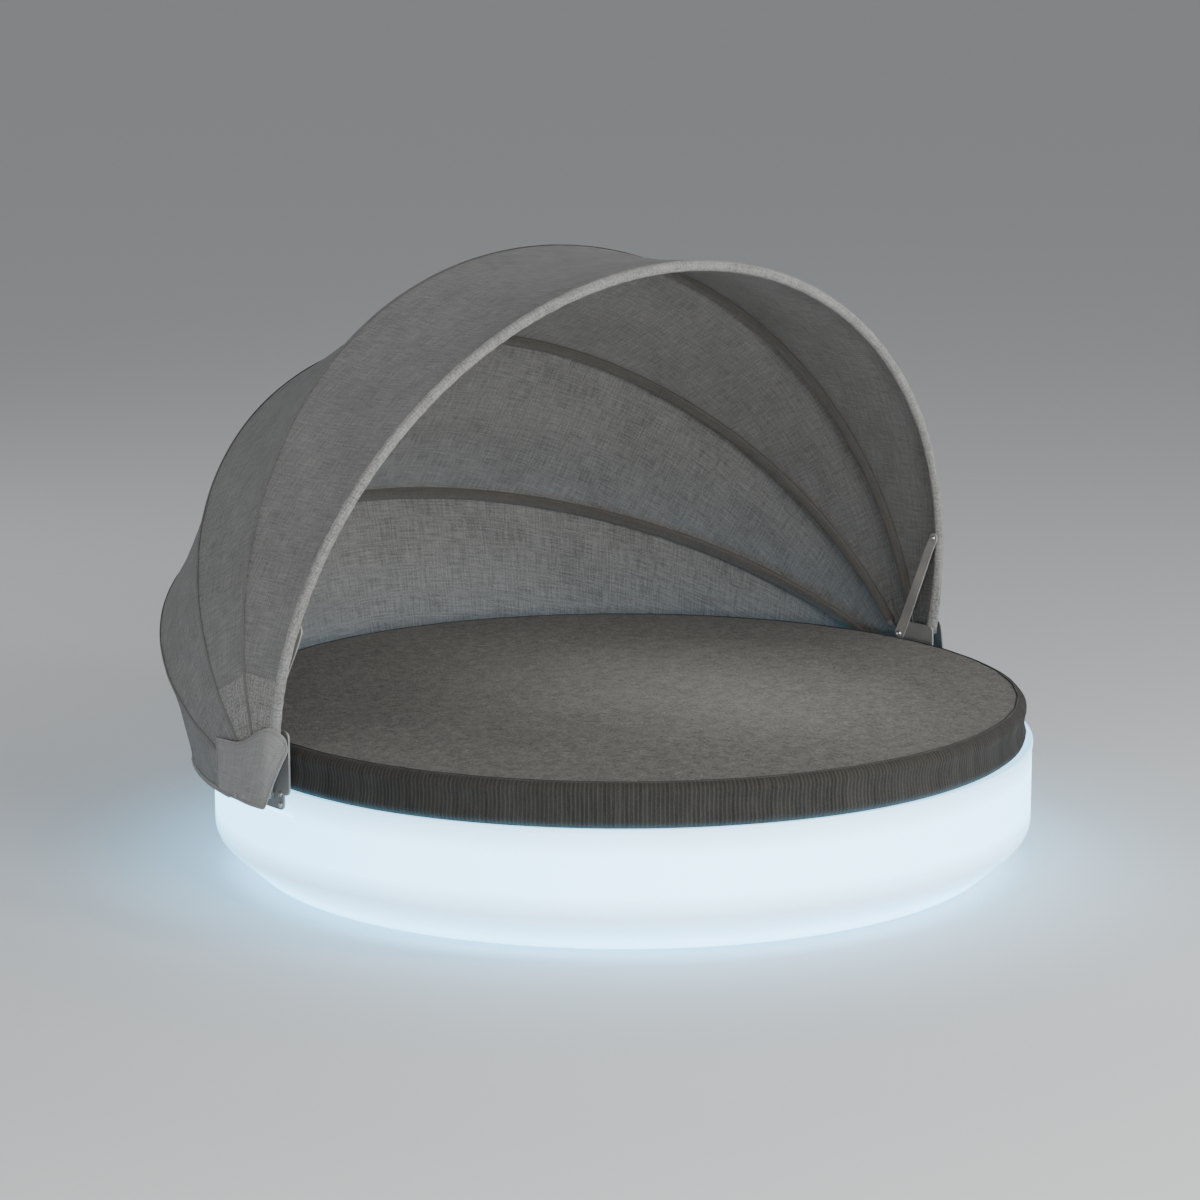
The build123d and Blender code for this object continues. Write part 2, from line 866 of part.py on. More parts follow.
def flap_outline():
    # A slanted front edge, a rounded tongue over the hoops, and a lower part to the back
    def place(back, rise):
        return pivot_y + back, pivot_z + rise

    low_front = place(-flap_low_front, -flap_below)
    low_back = place(leg_length, -flap_below)
    front = place(-flap_front, flap_front_rise)
    top_back = place(leg_length, flap_back_rise)
    tongue = Spline(
        front, place(-flap_nose_front, flap_nose_rise), place(-flap_peak_front, flap_peak_rise),
        place(-flap_slope_front, flap_slope_rise), place(flap_neck_back, flap_neck_rise), top_back,
    )
    outline = make_face(Polyline(top_back, low_back, low_front, front) + tongue)
    return rounded(outline, [(low_front, flap_round), (low_back, flap_round)])


def hub_flap(side):
    low_z, top_z = pivot_z - flap_below - overrun, pivot_z + flap_peak_rise + overrun
    front_y, back_y = pivot_y - flap_front - overrun, pivot_y + leg_length + overrun
    rows = []
    for step in range(flap_points):
        y = front_y + (back_y - front_y) * step / (flap_points - 1)
        row = []
        for rise in range(flap_points):
            z = low_z + (top_z - low_z) * rise / (flap_points - 1)
            row.append(Vector(flap_face_x(y, z), y, z))
        rows.append(row)
    flap = cloth_sheet(rows, flap_cloth) & x_prism(flap_outline(), 0, base_radius + panel_x)
    for y, z in post_places():
        flap = flap - x_cylinder(post_radius, 0, base_radius + panel_x, y, z)
    return side_piece(flap, side)


def post_places():
    for back in post_places_back:
        yield pivot_y + back, pivot_z - rear_drop * back / rear_tongue_length


def flap_studs():
    studs = Part()
    start = rear_tongue_x + tongue_thickness / 2
    for y, z in post_places():
        end = flap_face_x(y - post_cap_radius, z - post_cap_radius) + flap_cloth + running_clearance
        studs = studs + x_cylinder(post_radius, start, end, y, z)
        studs = studs + x_cylinder(post_cap_radius, end, end + post_cap_height, y, z)
    return studs + side_piece(studs, -1)


# Hub brackets

def stud_place(share):
    # Where the stay's lower screw is when the front hoop has folded by a share of its travel
    pin_y, pin_z = fold_place(stay_pin_reach, front_angle + front_travel * share)
    length = hypot(*stay_run())
    heading = atan2(pivot_z - pin_z, pivot_y - pin_y) + stay_swing() * (1 - share)
    return pin_y + length * cos(heading), pin_z + length * sin(heading)


def stay_run():
    # From the stay's pin on the open front hoop to its lower screw
    pin_y, pin_z = fold_place(stay_pin_reach, front_angle)
    return pivot_y + stud_back - pin_y, pivot_z + stud_rise - pin_z


def stay_swing():
    # The angle at the pin between the hoop's leg and the stay, in the open canopy
    pin_y, pin_z = fold_place(stay_pin_reach, front_angle)
    run_y, run_z = stay_run()
    return atan2(run_z, run_y) - atan2(pivot_z - pin_z, pivot_y - pin_y)


def hub_bracket(side):
    # A wide plate above the base's rim on a narrower foot, which takes the bolts
    outline = Pos(pivot_y, pivot_z + bracket_lift) * RectangleRounded(
        bracket_width, bracket_above - bracket_lift, bracket_round, align=(Align.CENTER, Align.MIN)
    )
    outline = outline + Pos(pivot_y, pivot_z - bracket_below) * RectangleRounded(
        bracket_foot_width, bracket_below + bracket_above, bracket_round, align=(Align.CENTER, Align.MIN)
    )
    plate = x_prism(outline, pad_x, bracket_face_x)
    plate = plate - x_cylinder(bolt_radius, pad_x - overrun, bracket_face_x + overrun, pivot_y, pivot_z)
    for y, z in bracket_bolt_places():
        plate = plate - x_cylinder(
            bracket_bolt_radius, pad_x - overrun, bracket_face_x + overrun, y, z
        )
    slot_radius = stud_radius + stud_clearance
    places = [stud_place(step / (2 * slot_steps)) for step in range(slot_steps + 1)]
    for (y0, z0), (y1, z1) in zip(places, places[1:]):
        length = hypot(y1 - y0, z1 - z0)
        turn = degrees(atan2(z1 - z0, y1 - y0))
        gap = Pos(y0, z0) * Rot(0, 0, turn) * (
            Rectangle(length, 2 * slot_radius, align=(Align.MIN, Align.CENTER))
            + Circle(slot_radius) + Pos(length, 0) * Circle(slot_radius)
        )
        plate = plate - x_prism(gap, pad_x - overrun, bracket_face_x + overrun)
    return side_piece(plate, side)


def bracket_bolts():
    bolts = Part()
    for y, z in bracket_bolt_places():
        head_x = bracket_face_x
        bolt = x_cylinder(
            bracket_bolt_radius, head_x - bracket_bolt_length + insert_length / 2, head_x, y, z
        )
        bolt = bolt + hex_x(
            bracket_bolt_head_radius, head_x, head_x + bracket_bolt_head_height, y, z
        )
        bolts = bolts + bolt
    return bolts + side_piece(bolts, -1)


def wall_inserts():
    inserts = Part()
    for y, z in bracket_bolt_places():
        ring = x_cylinder(insert_radius, pad_x - insert_length, pad_x, y, z)
        ring = ring - x_cylinder(
            bracket_bolt_radius, pad_x - insert_length - overrun, pad_x + overrun, y, z
        )
        inserts = inserts + ring
    return inserts + side_piece(inserts, -1)


def bolt_end_x():
    stack = rear_tongue_x + tongue_thickness / 2 + washer_slack + outer_washer_thickness
    return stack + washer_slack + nut_height + bolt_overrun


def pivot_bolts():
    shoulder_end = tongue_x(0) - tongue_thickness / 2 - washer_slack
    bolt = x_cylinder(bolt_head_radius, pad_x - bolt_head_height, pad_x, pivot_y, pivot_z)
    bolt = bolt + x_cylinder(bolt_radius, pad_x - bolt_head_height, bolt_end_x(), pivot_y, pivot_z)
    bolt = bolt + x_cylinder(
        bolt_shoulder_radius, bracket_face_x, shoulder_end, pivot_y, pivot_z
    )
    return bolt + side_piece(bolt, -1)


def hub_washers():
    washers = Part()
    for place in range(moving_hoops + 1):
        start = tongue_x(place) + tongue_thickness / 2 + washer_slack
        end = tongue_x(place + 1) - tongue_thickness / 2 - washer_slack
        if place == moving_hoops:
            end = start + outer_washer_thickness
        washer = x_cylinder(washer_radius, start, end, pivot_y, pivot_z)
        washer = washer - x_cylinder(
            bolt_radius, start - overrun, end + overrun, pivot_y, pivot_z
        )
        washers = washers + washer
    return washers + side_piece(washers, -1)


def pivot_nuts():
    start = rear_tongue_x + tongue_thickness / 2 + outer_washer_thickness + 2 * washer_slack
    nut = hex_x(nut_radius, start, start + nut_height, pivot_y, pivot_z)
    nut = nut - x_cylinder(bolt_radius, start - overrun, start + nut_height + overrun, pivot_y, pivot_z)
    return nut + side_piece(nut, -1)


# Stays

def stay_bar(side):
    pin_y, pin_z = fold_place(stay_pin_reach, front_angle)
    run_y, run_z = stay_run()
    length = hypot(run_y, run_z)
    heading = degrees(atan2(run_z, run_y))
    lean = acos((stay_top_radius - stay_foot_radius) / length)
    top_y, top_z = stay_top_radius * cos(lean), stay_top_radius * sin(lean)
    foot_y, foot_z = length + stay_foot_radius * cos(lean), stay_foot_radius * sin(lean)
    bar = make_face(Polyline(
        (top_y, top_z), (foot_y, foot_z), (foot_y, -foot_z), (top_y, -top_z), close=True
    ))
    bar = bar + Circle(stay_top_radius) + Pos(length, 0) * Circle(stay_foot_radius)
    bar = bar - Circle(stay_pin_radius + running_clearance) - Pos(length, 0) * Circle(stud_radius)
    blank = extrude(bar, hoop_radius)
    top, foot = stay_top_x, stay_foot_x
    start, end = -2 * stay_top_radius, length + 2 * stay_foot_radius
    bend = make_face(Polyline(
        (start, top), (stay_flat, top), (length - stay_flat, foot), (end, foot),
        (end, foot - stay_thickness), (length - stay_flat, foot - stay_thickness),
        (stay_flat, top - stay_thickness), (start, top - stay_thickness), close=True,
    ))
    width = 2 * max(stay_top_radius, stay_foot_radius) + overrun
    strip = extrude(Plane.XZ * bend, width / 2, both=True)
    place = Plane(origin=(0, pin_y, pin_z), x_dir=(0, 1, 0), z_dir=(1, 0, 0))
    return side_piece(place * Rot(0, 0, heading) * (blank & strip), side)


def stay_pins():
    y, z = fold_place(stay_pin_reach, front_angle)
    face_x = stay_top_x - stay_thickness - running_clearance
    head_x = face_x - stay_pin_head_height
    pin = x_cylinder(stay_pin_head_radius, head_x, face_x, y, z)
    pin = fillet(pin.edges().filter_by(GeomType.CIRCLE).group_by(Axis.X)[0], stay_pin_head_height / 2)
    pin = pin + x_cylinder(
        stay_pin_radius, head_x + stay_pin_head_height / 2, stay_top_x + stay_pin_depth, y, z
    )
    return pin + side_piece(pin, -1)


def stay_screw(side):
    y, z = pivot_y + stud_back, pivot_z + stud_rise
    face_x = stay_foot_x - stay_thickness
    head = x_cylinder(stud_head_radius, face_x - stud_head_height, face_x, y, z)
    head = fillet(head.edges().filter_by(GeomType.CIRCLE).group_by(Axis.X)[0], stud_head_height / 3)
    tip_x = bracket_face_x + cloth_clearance + stud_nut_height
    screw = head + x_cylinder(stud_radius, face_x - stud_head_height / 2, tip_x, y, z)
    return side_piece(screw, side)


def stay_nut(side):
    y, z = pivot_y + stud_back, pivot_z + stud_rise
    start = bracket_face_x + cloth_clearance
    nut = hex_x(stud_nut_radius, start, start + stud_nut_height, y, z)
    nut = nut - x_cylinder(stud_radius, start - overrun, start + stud_nut_height + overrun, y, z)
    return side_piece(nut, side)


# All pieces by name

def pieces():
    yield "base_shell", base_shell()
    yield "rubber_foot_ring", rubber_foot_ring()
    yield "foot_screws", foot_screws()
    yield "lamp_cover", lamp_cover()
    yield "lamp_gasket", lamp_gasket()
    yield "lamp_cover_screws", lamp_cover_screws()
    yield "driver_box", driver_box()
    yield "board_standoffs", board_standoffs()
    yield "lamp_board", lamp_board()
    yield "lamp_leds", lamp_leds()
    yield "lamp_diffuser", lamp_diffuser()
    yield "power_socket", power_socket()
    yield "socket_cap", socket_cap()
    yield "mattress_core", mattress_core()
    yield "mattress_cover", mattress_cover()
    yield "mattress_piping", turned_face(piping_section(piping_radius))
    yield "mattress_zip", zip_ring(0.0)
    yield "zip_slider", zip_slider()
    yield "mattress_grips", mattress_grips()
    yield "bracket_bolts", bracket_bolts()
    yield "wall_inserts", wall_inserts()
    yield "pivot_bolts", pivot_bolts()
    yield "hub_washers", hub_washers()
    yield "pivot_nuts", pivot_nuts()
    for name, side in sides:
        yield f"hub_bracket_{name}", hub_bracket(side)
        yield f"hub_flap_{name}", hub_flap(side)
        yield f"stay_{name}", stay_bar(side)
        yield f"stay_screw_{name}", stay_screw(side)
        yield f"stay_nut_{name}", stay_nut(side)
    yield "stay_pins", stay_pins()
    yield "flap_studs", flap_studs()
    hoop_names = ["front_hoop"] + [f"hoop_{place + 1}" for place in range(1, moving_hoops)]
    for place, name in enumerate(hoop_names):
        angle = hoop_angle(place)
        tube = hoop_tube(angle)
        sleeve = hoop_sleeve(angle)
        if place == 0:
            for _, side in sides:
                tube = tube - stay_pin_bore(side)
                sleeve = sleeve - stay_pin_bore(side)
        yield name, tube
        yield f"{name}_sleeve", sleeve
        yield f"{name}_ends", hoop_ends(place, angle)
    yield "rear_hoop", rear_ring(tube_section(tube_radius, tube_radius - tube_wall))
    yield "rear_hoop_sleeve", rear_ring(
        tube_section(sleeve_radius, tube_radius + sleeve_clearance)
    )
    yield "rear_hoop_ends", rear_ends()
    yield "hoop_clips", hoop_clips()
    yield "clip_screws", clip_screws()
    yield "front_hem", front_hem()
    yield "rear_hem", rear_hem()
    for place in range(moving_hoops - 1):
        seams = hoop_seam(place, panel_start), hoop_seam(place + 1, panel_start)
        yield f"canopy_panel_{place + 1}", canopy_panel(*seams)
    yield f"canopy_panel_{moving_hoops}", canopy_panel(
        hoop_seam(moving_hoops - 1, rear_panel_start), rear_seam(rear_panel_start)
    )


os.makedirs("parts", exist_ok=True)
for node, shape in pieces():
    export_step(shape, f"parts/{node}.step")
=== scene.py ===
import json
import math

import bmesh
import bpy
import numpy as np
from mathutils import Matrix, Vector


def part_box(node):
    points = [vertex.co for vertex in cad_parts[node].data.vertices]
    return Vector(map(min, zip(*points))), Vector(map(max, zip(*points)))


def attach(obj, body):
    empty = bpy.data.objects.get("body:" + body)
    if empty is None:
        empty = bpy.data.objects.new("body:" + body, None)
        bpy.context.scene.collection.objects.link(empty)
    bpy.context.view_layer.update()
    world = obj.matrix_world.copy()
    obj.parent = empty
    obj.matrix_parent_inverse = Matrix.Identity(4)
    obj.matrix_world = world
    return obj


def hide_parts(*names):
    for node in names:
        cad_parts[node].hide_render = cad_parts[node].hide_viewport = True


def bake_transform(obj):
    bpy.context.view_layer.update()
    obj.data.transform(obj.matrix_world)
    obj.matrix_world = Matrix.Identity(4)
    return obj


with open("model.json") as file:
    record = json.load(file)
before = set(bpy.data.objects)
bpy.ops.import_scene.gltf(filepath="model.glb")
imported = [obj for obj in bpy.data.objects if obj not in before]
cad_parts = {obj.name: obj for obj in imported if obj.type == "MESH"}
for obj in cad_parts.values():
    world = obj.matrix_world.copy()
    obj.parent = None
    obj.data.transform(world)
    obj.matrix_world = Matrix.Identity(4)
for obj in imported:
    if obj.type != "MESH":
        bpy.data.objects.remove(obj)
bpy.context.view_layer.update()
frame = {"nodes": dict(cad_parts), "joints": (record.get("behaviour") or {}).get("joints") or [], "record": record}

# Sizes of the daybed, in metres and degrees
pivot = Vector(frame["joints"][0]["pos_m"])
front_angle = 77.7
hoop_step = 26.9
moving_hoops = 4
tube_radius = 0.010
sleeve_radius = 0.0112
seam_offset = 0.0115
rear_seam_offset = 0.016
leg_length = 0.195
panel_start = 0.060
rear_panel_start = 0.130
panel_sag = 0.012
canopy_cloth = 0.0012
hoop_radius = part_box("hoop_2")[1].x - tube_radius
rim_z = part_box("base_shell")[1].z
base_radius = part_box("base_shell")[1].y
rear_low, rear_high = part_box("rear_hoop")
rear_tube_z = (rear_low.z + rear_high.z) / 2
rear_radius = rear_high.y - tube_radius
mattress_low, mattress_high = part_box("mattress_cover")
mattress_radius = mattress_high.x

# Camera and stage
camera_azimuth = -38.05
camera_elevation = 12.81
camera_distance = 10.5
focal_pixels = 4081.0
photo_pixels = 1200.0
rim_centre_pixel = (623.0, 729.8)
sensor_width = 36.0
view_limit = 2000.0


def new_object(name, data):
    made = bpy.data.objects.new(name, data)
    bpy.context.scene.collection.objects.link(made)
    return made


def face_along(piece, direction):
    """Turns a camera or a light to look along a direction."""
    piece.rotation_mode = "QUATERNION"
    piece.rotation_quaternion = direction.to_track_quat("-Z", "Y")


def make_camera():
    data = bpy.data.cameras.new("camera")
    camera = new_object("camera", data)
    turn, rise = math.radians(camera_azimuth), math.radians(camera_elevation)
    back = Vector((
        math.sin(turn) * math.cos(rise), -math.cos(turn) * math.cos(rise), math.sin(rise),
    ))
    camera.location = Vector((0, 0, rim_z)) + back * camera_distance
    face_along(camera, -back)
    data.sensor_width = sensor_width
    data.lens = focal_pixels / photo_pixels * sensor_width
    data.shift_x = (photo_pixels / 2 - rim_centre_pixel[0]) / photo_pixels
    data.shift_y = (rim_centre_pixel[1] - photo_pixels / 2) / photo_pixels
    data.clip_end = view_limit
    bpy.context.scene.camera = camera


# Each light's name, place, aim, size, power, colour and spread
middle_aim = (0, 0, 0.6)
studio_lights = (
    ("front", (-0.6, -8.0, 2.4), (0, 0.2, 0.85), 5.0, 690.0, (1.0, 0.99, 0.97), 180.0),
    ("key", (-3.5, -2.5, 6.0), middle_aim, 3.5, 22.0, (1.0, 0.98, 0.95), 180.0),
    ("fill", (6.0, -3.0, 3.0), middle_aim, 4.0, 90.0, (0.95, 0.97, 1.0), 180.0),
    ("back", (-2.0, 6.0, 4.0), middle_aim, 3.0, 110.0, (0.96, 0.98, 1.0), 180.0),
    ("inside", (-4.0, -4.2, 0.6), (0.85, 0.25, 1.1), 2.2, 150.0, (1.0, 0.98, 0.96), 180.0),
    ("left", (-7.0, -1.0, 2.0), (-0.6, 0.1, 0.7), 3.5, 60.0, (1.0, 0.99, 0.98), 180.0),
    ("seat", (1.7, -3.4, 2.8), (0.25, -0.1, 0.43), 1.0, 70.0, (1.0, 0.98, 0.94), 180.0),
    ("middle", (0.5, -2.6, 2.4), (0.12, -0.05, 0.43), 0.4, 1.5, (1.0, 0.98, 0.94), 22.0),
)
sky_colour = (0.86, 0.88, 0.90, 1.0)
sky_strength = 0.42
floor_colour = (0.60, 0.61, 0.62, 1.0)
floor_half = 400.0


def soft_light(name, place, aim, size, power, colour, spread_angle):
    data = bpy.data.lights.new(name, "AREA")
    data.shape = "DISK"
    data.size = size
    data.energy = power
    data.color = colour
    data.spread = math.radians(spread_angle)
    light = new_object(name, data)
    light.location = place
    face_along(light, Vector(aim) - Vector(place))


def make_stage():
    world = bpy.data.worlds.new("studio")
    bpy.context.scene.world = world
    world.use_nodes = True
    sky = world.node_tree.nodes["Background"]
    connect(sky, {"Color": sky_colour, "Strength": sky_strength})
    mesh = bpy.data.meshes.new("floor")
    corners = [(-1, -1), (1, -1), (1, 1), (-1, 1)]
    mesh.from_pydata([(x * floor_half, y * floor_half, 0) for x, y in corners], [], [(0, 1, 2, 3)])
    floor = new_object("floor", mesh)
    paint, shader = finish("studio_floor")
    connect(shader, {"Base Color": floor_colour, "Roughness": 0.8, "Specular IOR Level": 0.1})
    mesh.materials.append(paint)
    for light in studio_lights:
        soft_light(*light)


# Finishes

def finish(name):
    paint = bpy.data.materials.new(name)
    paint.use_nodes = True
    return paint, paint.node_tree.nodes["Principled BSDF"]


def connect(made, inputs):
    """Sets a node's inputs: a socket is linked to one, and a value is written on it."""
    for key, value in inputs.items():
        if isinstance(value, bpy.types.NodeSocket):
            made.id_data.links.new(value, made.inputs[key])
        else:
            made.inputs[key].default_value = value


def node(beside, kind, inputs=None, **settings):
    """Adds a node to a tree, or to the tree that holds the given node or socket."""
    made = beside.id_data.nodes.new(kind)
    for key, value in settings.items():
        setattr(made, key, value)
    connect(made, inputs or {})
    return made


def object_place(shader):
    return node(shader, "ShaderNodeTexCoord").outputs["Object"]


def cloth_place(shader):
    return node(shader, "ShaderNodeUVMap", uv_map="cloth").outputs["UV"]


def sums(operation, first, second=0.0):
    inputs = {0: first, 1: second}
    return node(first, "ShaderNodeMath", inputs, operation=operation).outputs[0]


def added(*values):
    total = values[0]
    for value in values[1:]:
        total = sums("ADD", total, value)
    return total


def mixed(factor, first, second):
    inputs = {"Factor": factor, 2: first, 3: second}
    return node(factor, "ShaderNodeMix", inputs, data_type="FLOAT").outputs[0]


def mixed_colour(factor, first, second):
    inputs = {"Factor": factor, 6: first, 7: second}
    return node(factor, "ShaderNodeMix", inputs, data_type="RGBA").outputs[2]


def axis(place, name):
    return node(place, "ShaderNodeSeparateXYZ", {"Vector": place}).outputs[name]


def noise(place, scale, detail=3.0, roughness=0.55):
    inputs = {"Vector": place, "Scale": scale, "Detail": detail, "Roughness": roughness}
    return node(place, "ShaderNodeTexNoise", inputs).outputs["Fac"]


def stretched_noise(place, scale, detail=2.0):
    """Noise drawn out by its own scale along each axis."""
    mapped = node(place, "ShaderNodeMapping", {"Vector": place, "Scale": scale})
    return noise(mapped.outputs["Vector"], 1.0, detail)


def ranged(value, **limits):
    inputs = {"Value": value, **{key.replace("_", " "): limit for key, limit in limits.items()}}
    return node(value, "ShaderNodeMapRange", inputs).outputs["Result"]


def spread(value, low, high):
    """The value, from 0 to 1, taken between low and high."""
    return ranged(value, To_Min=low, To_Max=high)


def shade(value, dark, light, low=0.0, high=1.0):
    """A colour between dark and light, by a value between low and high."""
    return mixed_colour(ranged(value, From_Min=low, From_Max=high), (*dark, 1.0), (*light, 1.0))


def dimmed(colour, share):
    return tuple(share * part for part in colour)


def bump(shader, height, depth, strength=1.0):
    inputs = {"Height": height, "Distance": depth, "Strength": strength}
    made = node(shader, "ShaderNodeBump", inputs)
    connect(shader, {"Normal": made.outputs["Normal"]})


def threads(place, pitch):
    """The height of a plain weave, and its crossings, on coordinates in metres."""
    turns = math.pi / pitch
    across, along = (sums("SINE", sums("MULTIPLY", axis(place, name), turns)) for name in "XY")
    warp, weft = sums("ABSOLUTE", across), sums("ABSOLUTE", along)
    top = sums("GREATER_THAN", sums("MULTIPLY", across, along), 0.0)
    return mixed(top, warp, weft), sums("MAXIMUM", warp, weft)


def slubs(place, wide, long):
    """Streaks of thicker yarn along both threads."""
    first = stretched_noise(place, (1 / wide, 1 / long, 1))
    second = stretched_noise(place, (1 / long, 1 / wide, 1))
    return sums("MULTIPLY", sums("ADD", first, second), 0.5)


weave_pitch = 0.003
slub_width = 0.0045
slub_length = 0.07
cloth_relief = 0.0011


def canopy_finish(name, dark, light, see_through=0.0, mottled=0.10):
    """Woven cloth with thicker yarns, a grain and soft patches."""
    paint, shader = finish(name)
    place = cloth_place(shader)
    weave, gaps = threads(place, weave_pitch)
    streaks = slubs(place, slub_width, slub_length)
    grain = noise(place, 190.0, 2.0, 0.7)
    patches = noise(place, 7.0, 4.0)
    tone = added(
        spread(streaks, -0.35, 0.85), spread(patches, -0.14, 0.14),
        spread(grain, -3 * mottled, 3 * mottled), spread(gaps, -0.10, 0.06),
    )
    connect(shader, {
        "Base Color": shade(tone, dark, light, 0.0, 0.5),
        "Roughness": spread(streaks, 0.72, 0.9),
        "Sheen Weight": 0.2, "Sheen Roughness": 0.5, "Specular IOR Level": 0.2,
        "Alpha": 1 - see_through,
    })
    rough = added(sums("MULTIPLY", streaks, 1.5), sums("MULTIPLY", grain, 0.6))
    bump(shader, added(weave, rough), cloth_relief)
    return paint


def thread_finish(name, colour):
    """Twisted sewing thread."""
    paint, shader = finish(name)
    twist = noise(object_place(shader), 1600.0, 2.0)
    connect(shader, {
        "Base Color": shade(twist, dimmed(colour, 0.7), colour, 0.3, 0.7), "Roughness": 0.7,
    })
    bump(shader, twist, 0.0002)
    return paint


# The mattress's darkest and lightest colours, on its top and on its ribbed side; the side's far darker colours are
# painted shade
top_dark, top_light = (0.067, 0.066, 0.0615), (0.164, 0.161, 0.151)
shaded_side_dark, shaded_side_light = (0.011, 0.0107, 0.0100), (0.046, 0.0450, 0.0415)
mattress_relief = 0.0014


def mattress_finish():
    """A mottled woven top, and a ribbed side darkened with painted shade."""
    paint, shader = finish("mattress_cloth")
    place = object_place(shader)
    side = node(shader, "ShaderNodeAttribute", attribute_name="side").outputs["Fac"]
    around = cloth_place(shader)
    turns = sums("MULTIPLY", axis(around, "X"), 2 * math.pi / rib_pitch)
    uneven = stretched_noise(around, (1 / 0.016, 1 / 0.12, 1))
    specks = noise(place, 330.0, 3.0, 0.7)
    ribbing = added(
        spread(sums("SINE", turns), 0.5, 0.82), spread(uneven, -0.30, 0.22),
        spread(specks, -0.40, 0.28),
    )
    grain = noise(place, 130.0, 4.0, 0.75)
    clumps = noise(place, 40.0, 3.0)
    cloudy = noise(place, 3.5, 4.0)
    top = added(spread(grain, -1.15, 1.75), spread(clumps, -0.45, 0.85))
    height = mixed(side, top, ribbing)
    tone = added(height, spread(cloudy, -0.14, 0.14))
    # The ribbed side's colours are painted shade, far darker than the top's.
    shaded_side_colour = shade(tone, shaded_side_dark, shaded_side_light, 0.15, 0.85)
    connect(shader, {
        "Base Color": mixed_colour(side, shade(tone, top_dark, top_light), shaded_side_colour),
        "Roughness": spread(grain, 0.86, 1.0), "Sheen Weight": 0.05, "Specular IOR Level": 0.08,
    })
    bump(shader, height, mattress_relief)
    return paint


# The lamp's light on the wall, by share of the rim's height; its darker bands are painted shade where the wall
# bends
glow_colour = (0.235, 0.66, 1.0)
glow_and_shade_levels = (
    (0.02, 0.80), (0.10, 0.92), (0.21, 0.58), (0.335, 0.36), (0.43, 0.68), (0.50, 1.0),
    (0.80, 1.0), (0.90, 0.62), (0.99, 0.38),
)
glow_patch_level = 0.9
glow_strength = 5.0
shell_colour = (0.60, 0.68, 0.74, 1.0)


def glow_finish():
    """Pale moulded plastic, lit from inside, with bands of painted shade in its glow."""
    paint, shader = finish("glowing_shell")
    place = object_place(shader)
    cloudy = noise(place, 2.2, 2.0)
    fine = noise(place, 420.0, 2.0)
    up = ranged(axis(place, "Z"), From_Min=0.0, From_Max=rim_z)
    # The ramp's darker bands are painted shade on the glow, where the wall bends.
    light = node(shader, "ShaderNodeValToRGB", {"Fac": up})
    stops = light.color_ramp.elements
    for stop, (height, level) in zip(stops, (glow_and_shade_levels[0], glow_and_shade_levels[-1])):
        stop.position = height
        stop.color = (*dimmed(glow_colour, level), 1.0)
    for height, level in glow_and_shade_levels[1:-1]:
        stops.new(height).color = (*dimmed(glow_colour, level), 1.0)
    patches = (*dimmed(glow_colour, glow_patch_level), 1.0)
    mottled = mixed_colour(spread(cloudy, 0.0, 0.2), light.outputs["Color"], patches)
    connect(shader, {
        "Emission Color": mottled, "Emission Strength": glow_strength,
        "Base Color": shell_colour, "Roughness": spread(fine, 0.42, 0.58),
        "Subsurface Weight": 0.2,
    })
    bump(shader, fine, 0.0003, 0.5)
    return paint


def coated_finish(name, dark, light, gloss=0.5):
    """Powder coat with a fine orange-peel grain and rubbed spots. A high value of gloss is matt."""
    paint, shader = finish(name)
    place = object_place(shader)
    grain = noise(place, 900.0, 2.0)
    rubbed = noise(place, 14.0, 4.0)
    connect(shader, {
        "Base Color": shade(rubbed, dark, light, 0.3, 0.75),
        "Roughness": spread(rubbed, gloss - 0.08, gloss + 0.1), "Specular IOR Level": 0.45,
    })
    bump(shader, grain, 0.0002, 0.6)
    return paint


def metal_finish(name, colour):
    """Brushed metal, a little worn."""
    paint, shader = finish(name)
    place = object_place(shader)
    lines = stretched_noise(place, (1400.0, 120.0, 120.0), 3.0)
    worn = noise(place, 60.0, 3.0)
    connect(shader, {
        "Base Color": shade(worn, dimmed(colour, 0.72), colour, 0.3, 0.6),
        "Roughness": spread(lines, 0.22, 0.42), "Metallic": 1.0,
    })
    bump(shader, lines, 0.0001, 0.4)
    return paint


def moulded_finish(name, colour, rough, grain):
    """Moulded plastic or rubber with light scuffs."""
    paint, shader = finish(name)
    place = object_place(shader)
    fine = noise(place, 700.0, 2.0)
    scuffs = noise(place, 25.0, 4.0)
    connect(shader, {
        "Base Color": shade(scuffs, dimmed(colour, 0.8), colour, 0.35, 0.6),
        "Roughness": spread(scuffs, rough - 0.06, rough + 0.1),
    })
    bump(shader, fine, grain, 0.7)
    return paint


# Mesh helpers

def mesh_piece(name, points, faces, paint, recalculate=False):
    mesh = bpy.data.meshes.new(name)
    mesh.from_pydata([tuple(point) for point in points], [], faces)
    mesh.validate()
    if recalculate:
        shell = bmesh.new()
        shell.from_mesh(mesh)
        bmesh.ops.recalc_face_normals(shell, faces=shell.faces)
        shell.to_mesh(mesh)
        shell.free()
    mesh.shade_smooth()
    mesh.materials.append(paint)
    return new_object(name, mesh)


def set_uv(piece, coordinates):
    """Gives the piece a cloth UV map, in metres, from one pair for each vertex."""
    layer = piece.data.uv_layers.new(name="cloth")
    loops = np.zeros(len(piece.data.loops), np.int32)
    piece.data.loops.foreach_get("vertex_index", loops)
    layer.data.foreach_set("uv", np.asarray(coordinates, np.float32)[loops].ravel())


def unit(vectors):
    lengths = np.linalg.norm(vectors, axis=-1, keepdims=True)
    return vectors / np.maximum(lengths, 1e-12)


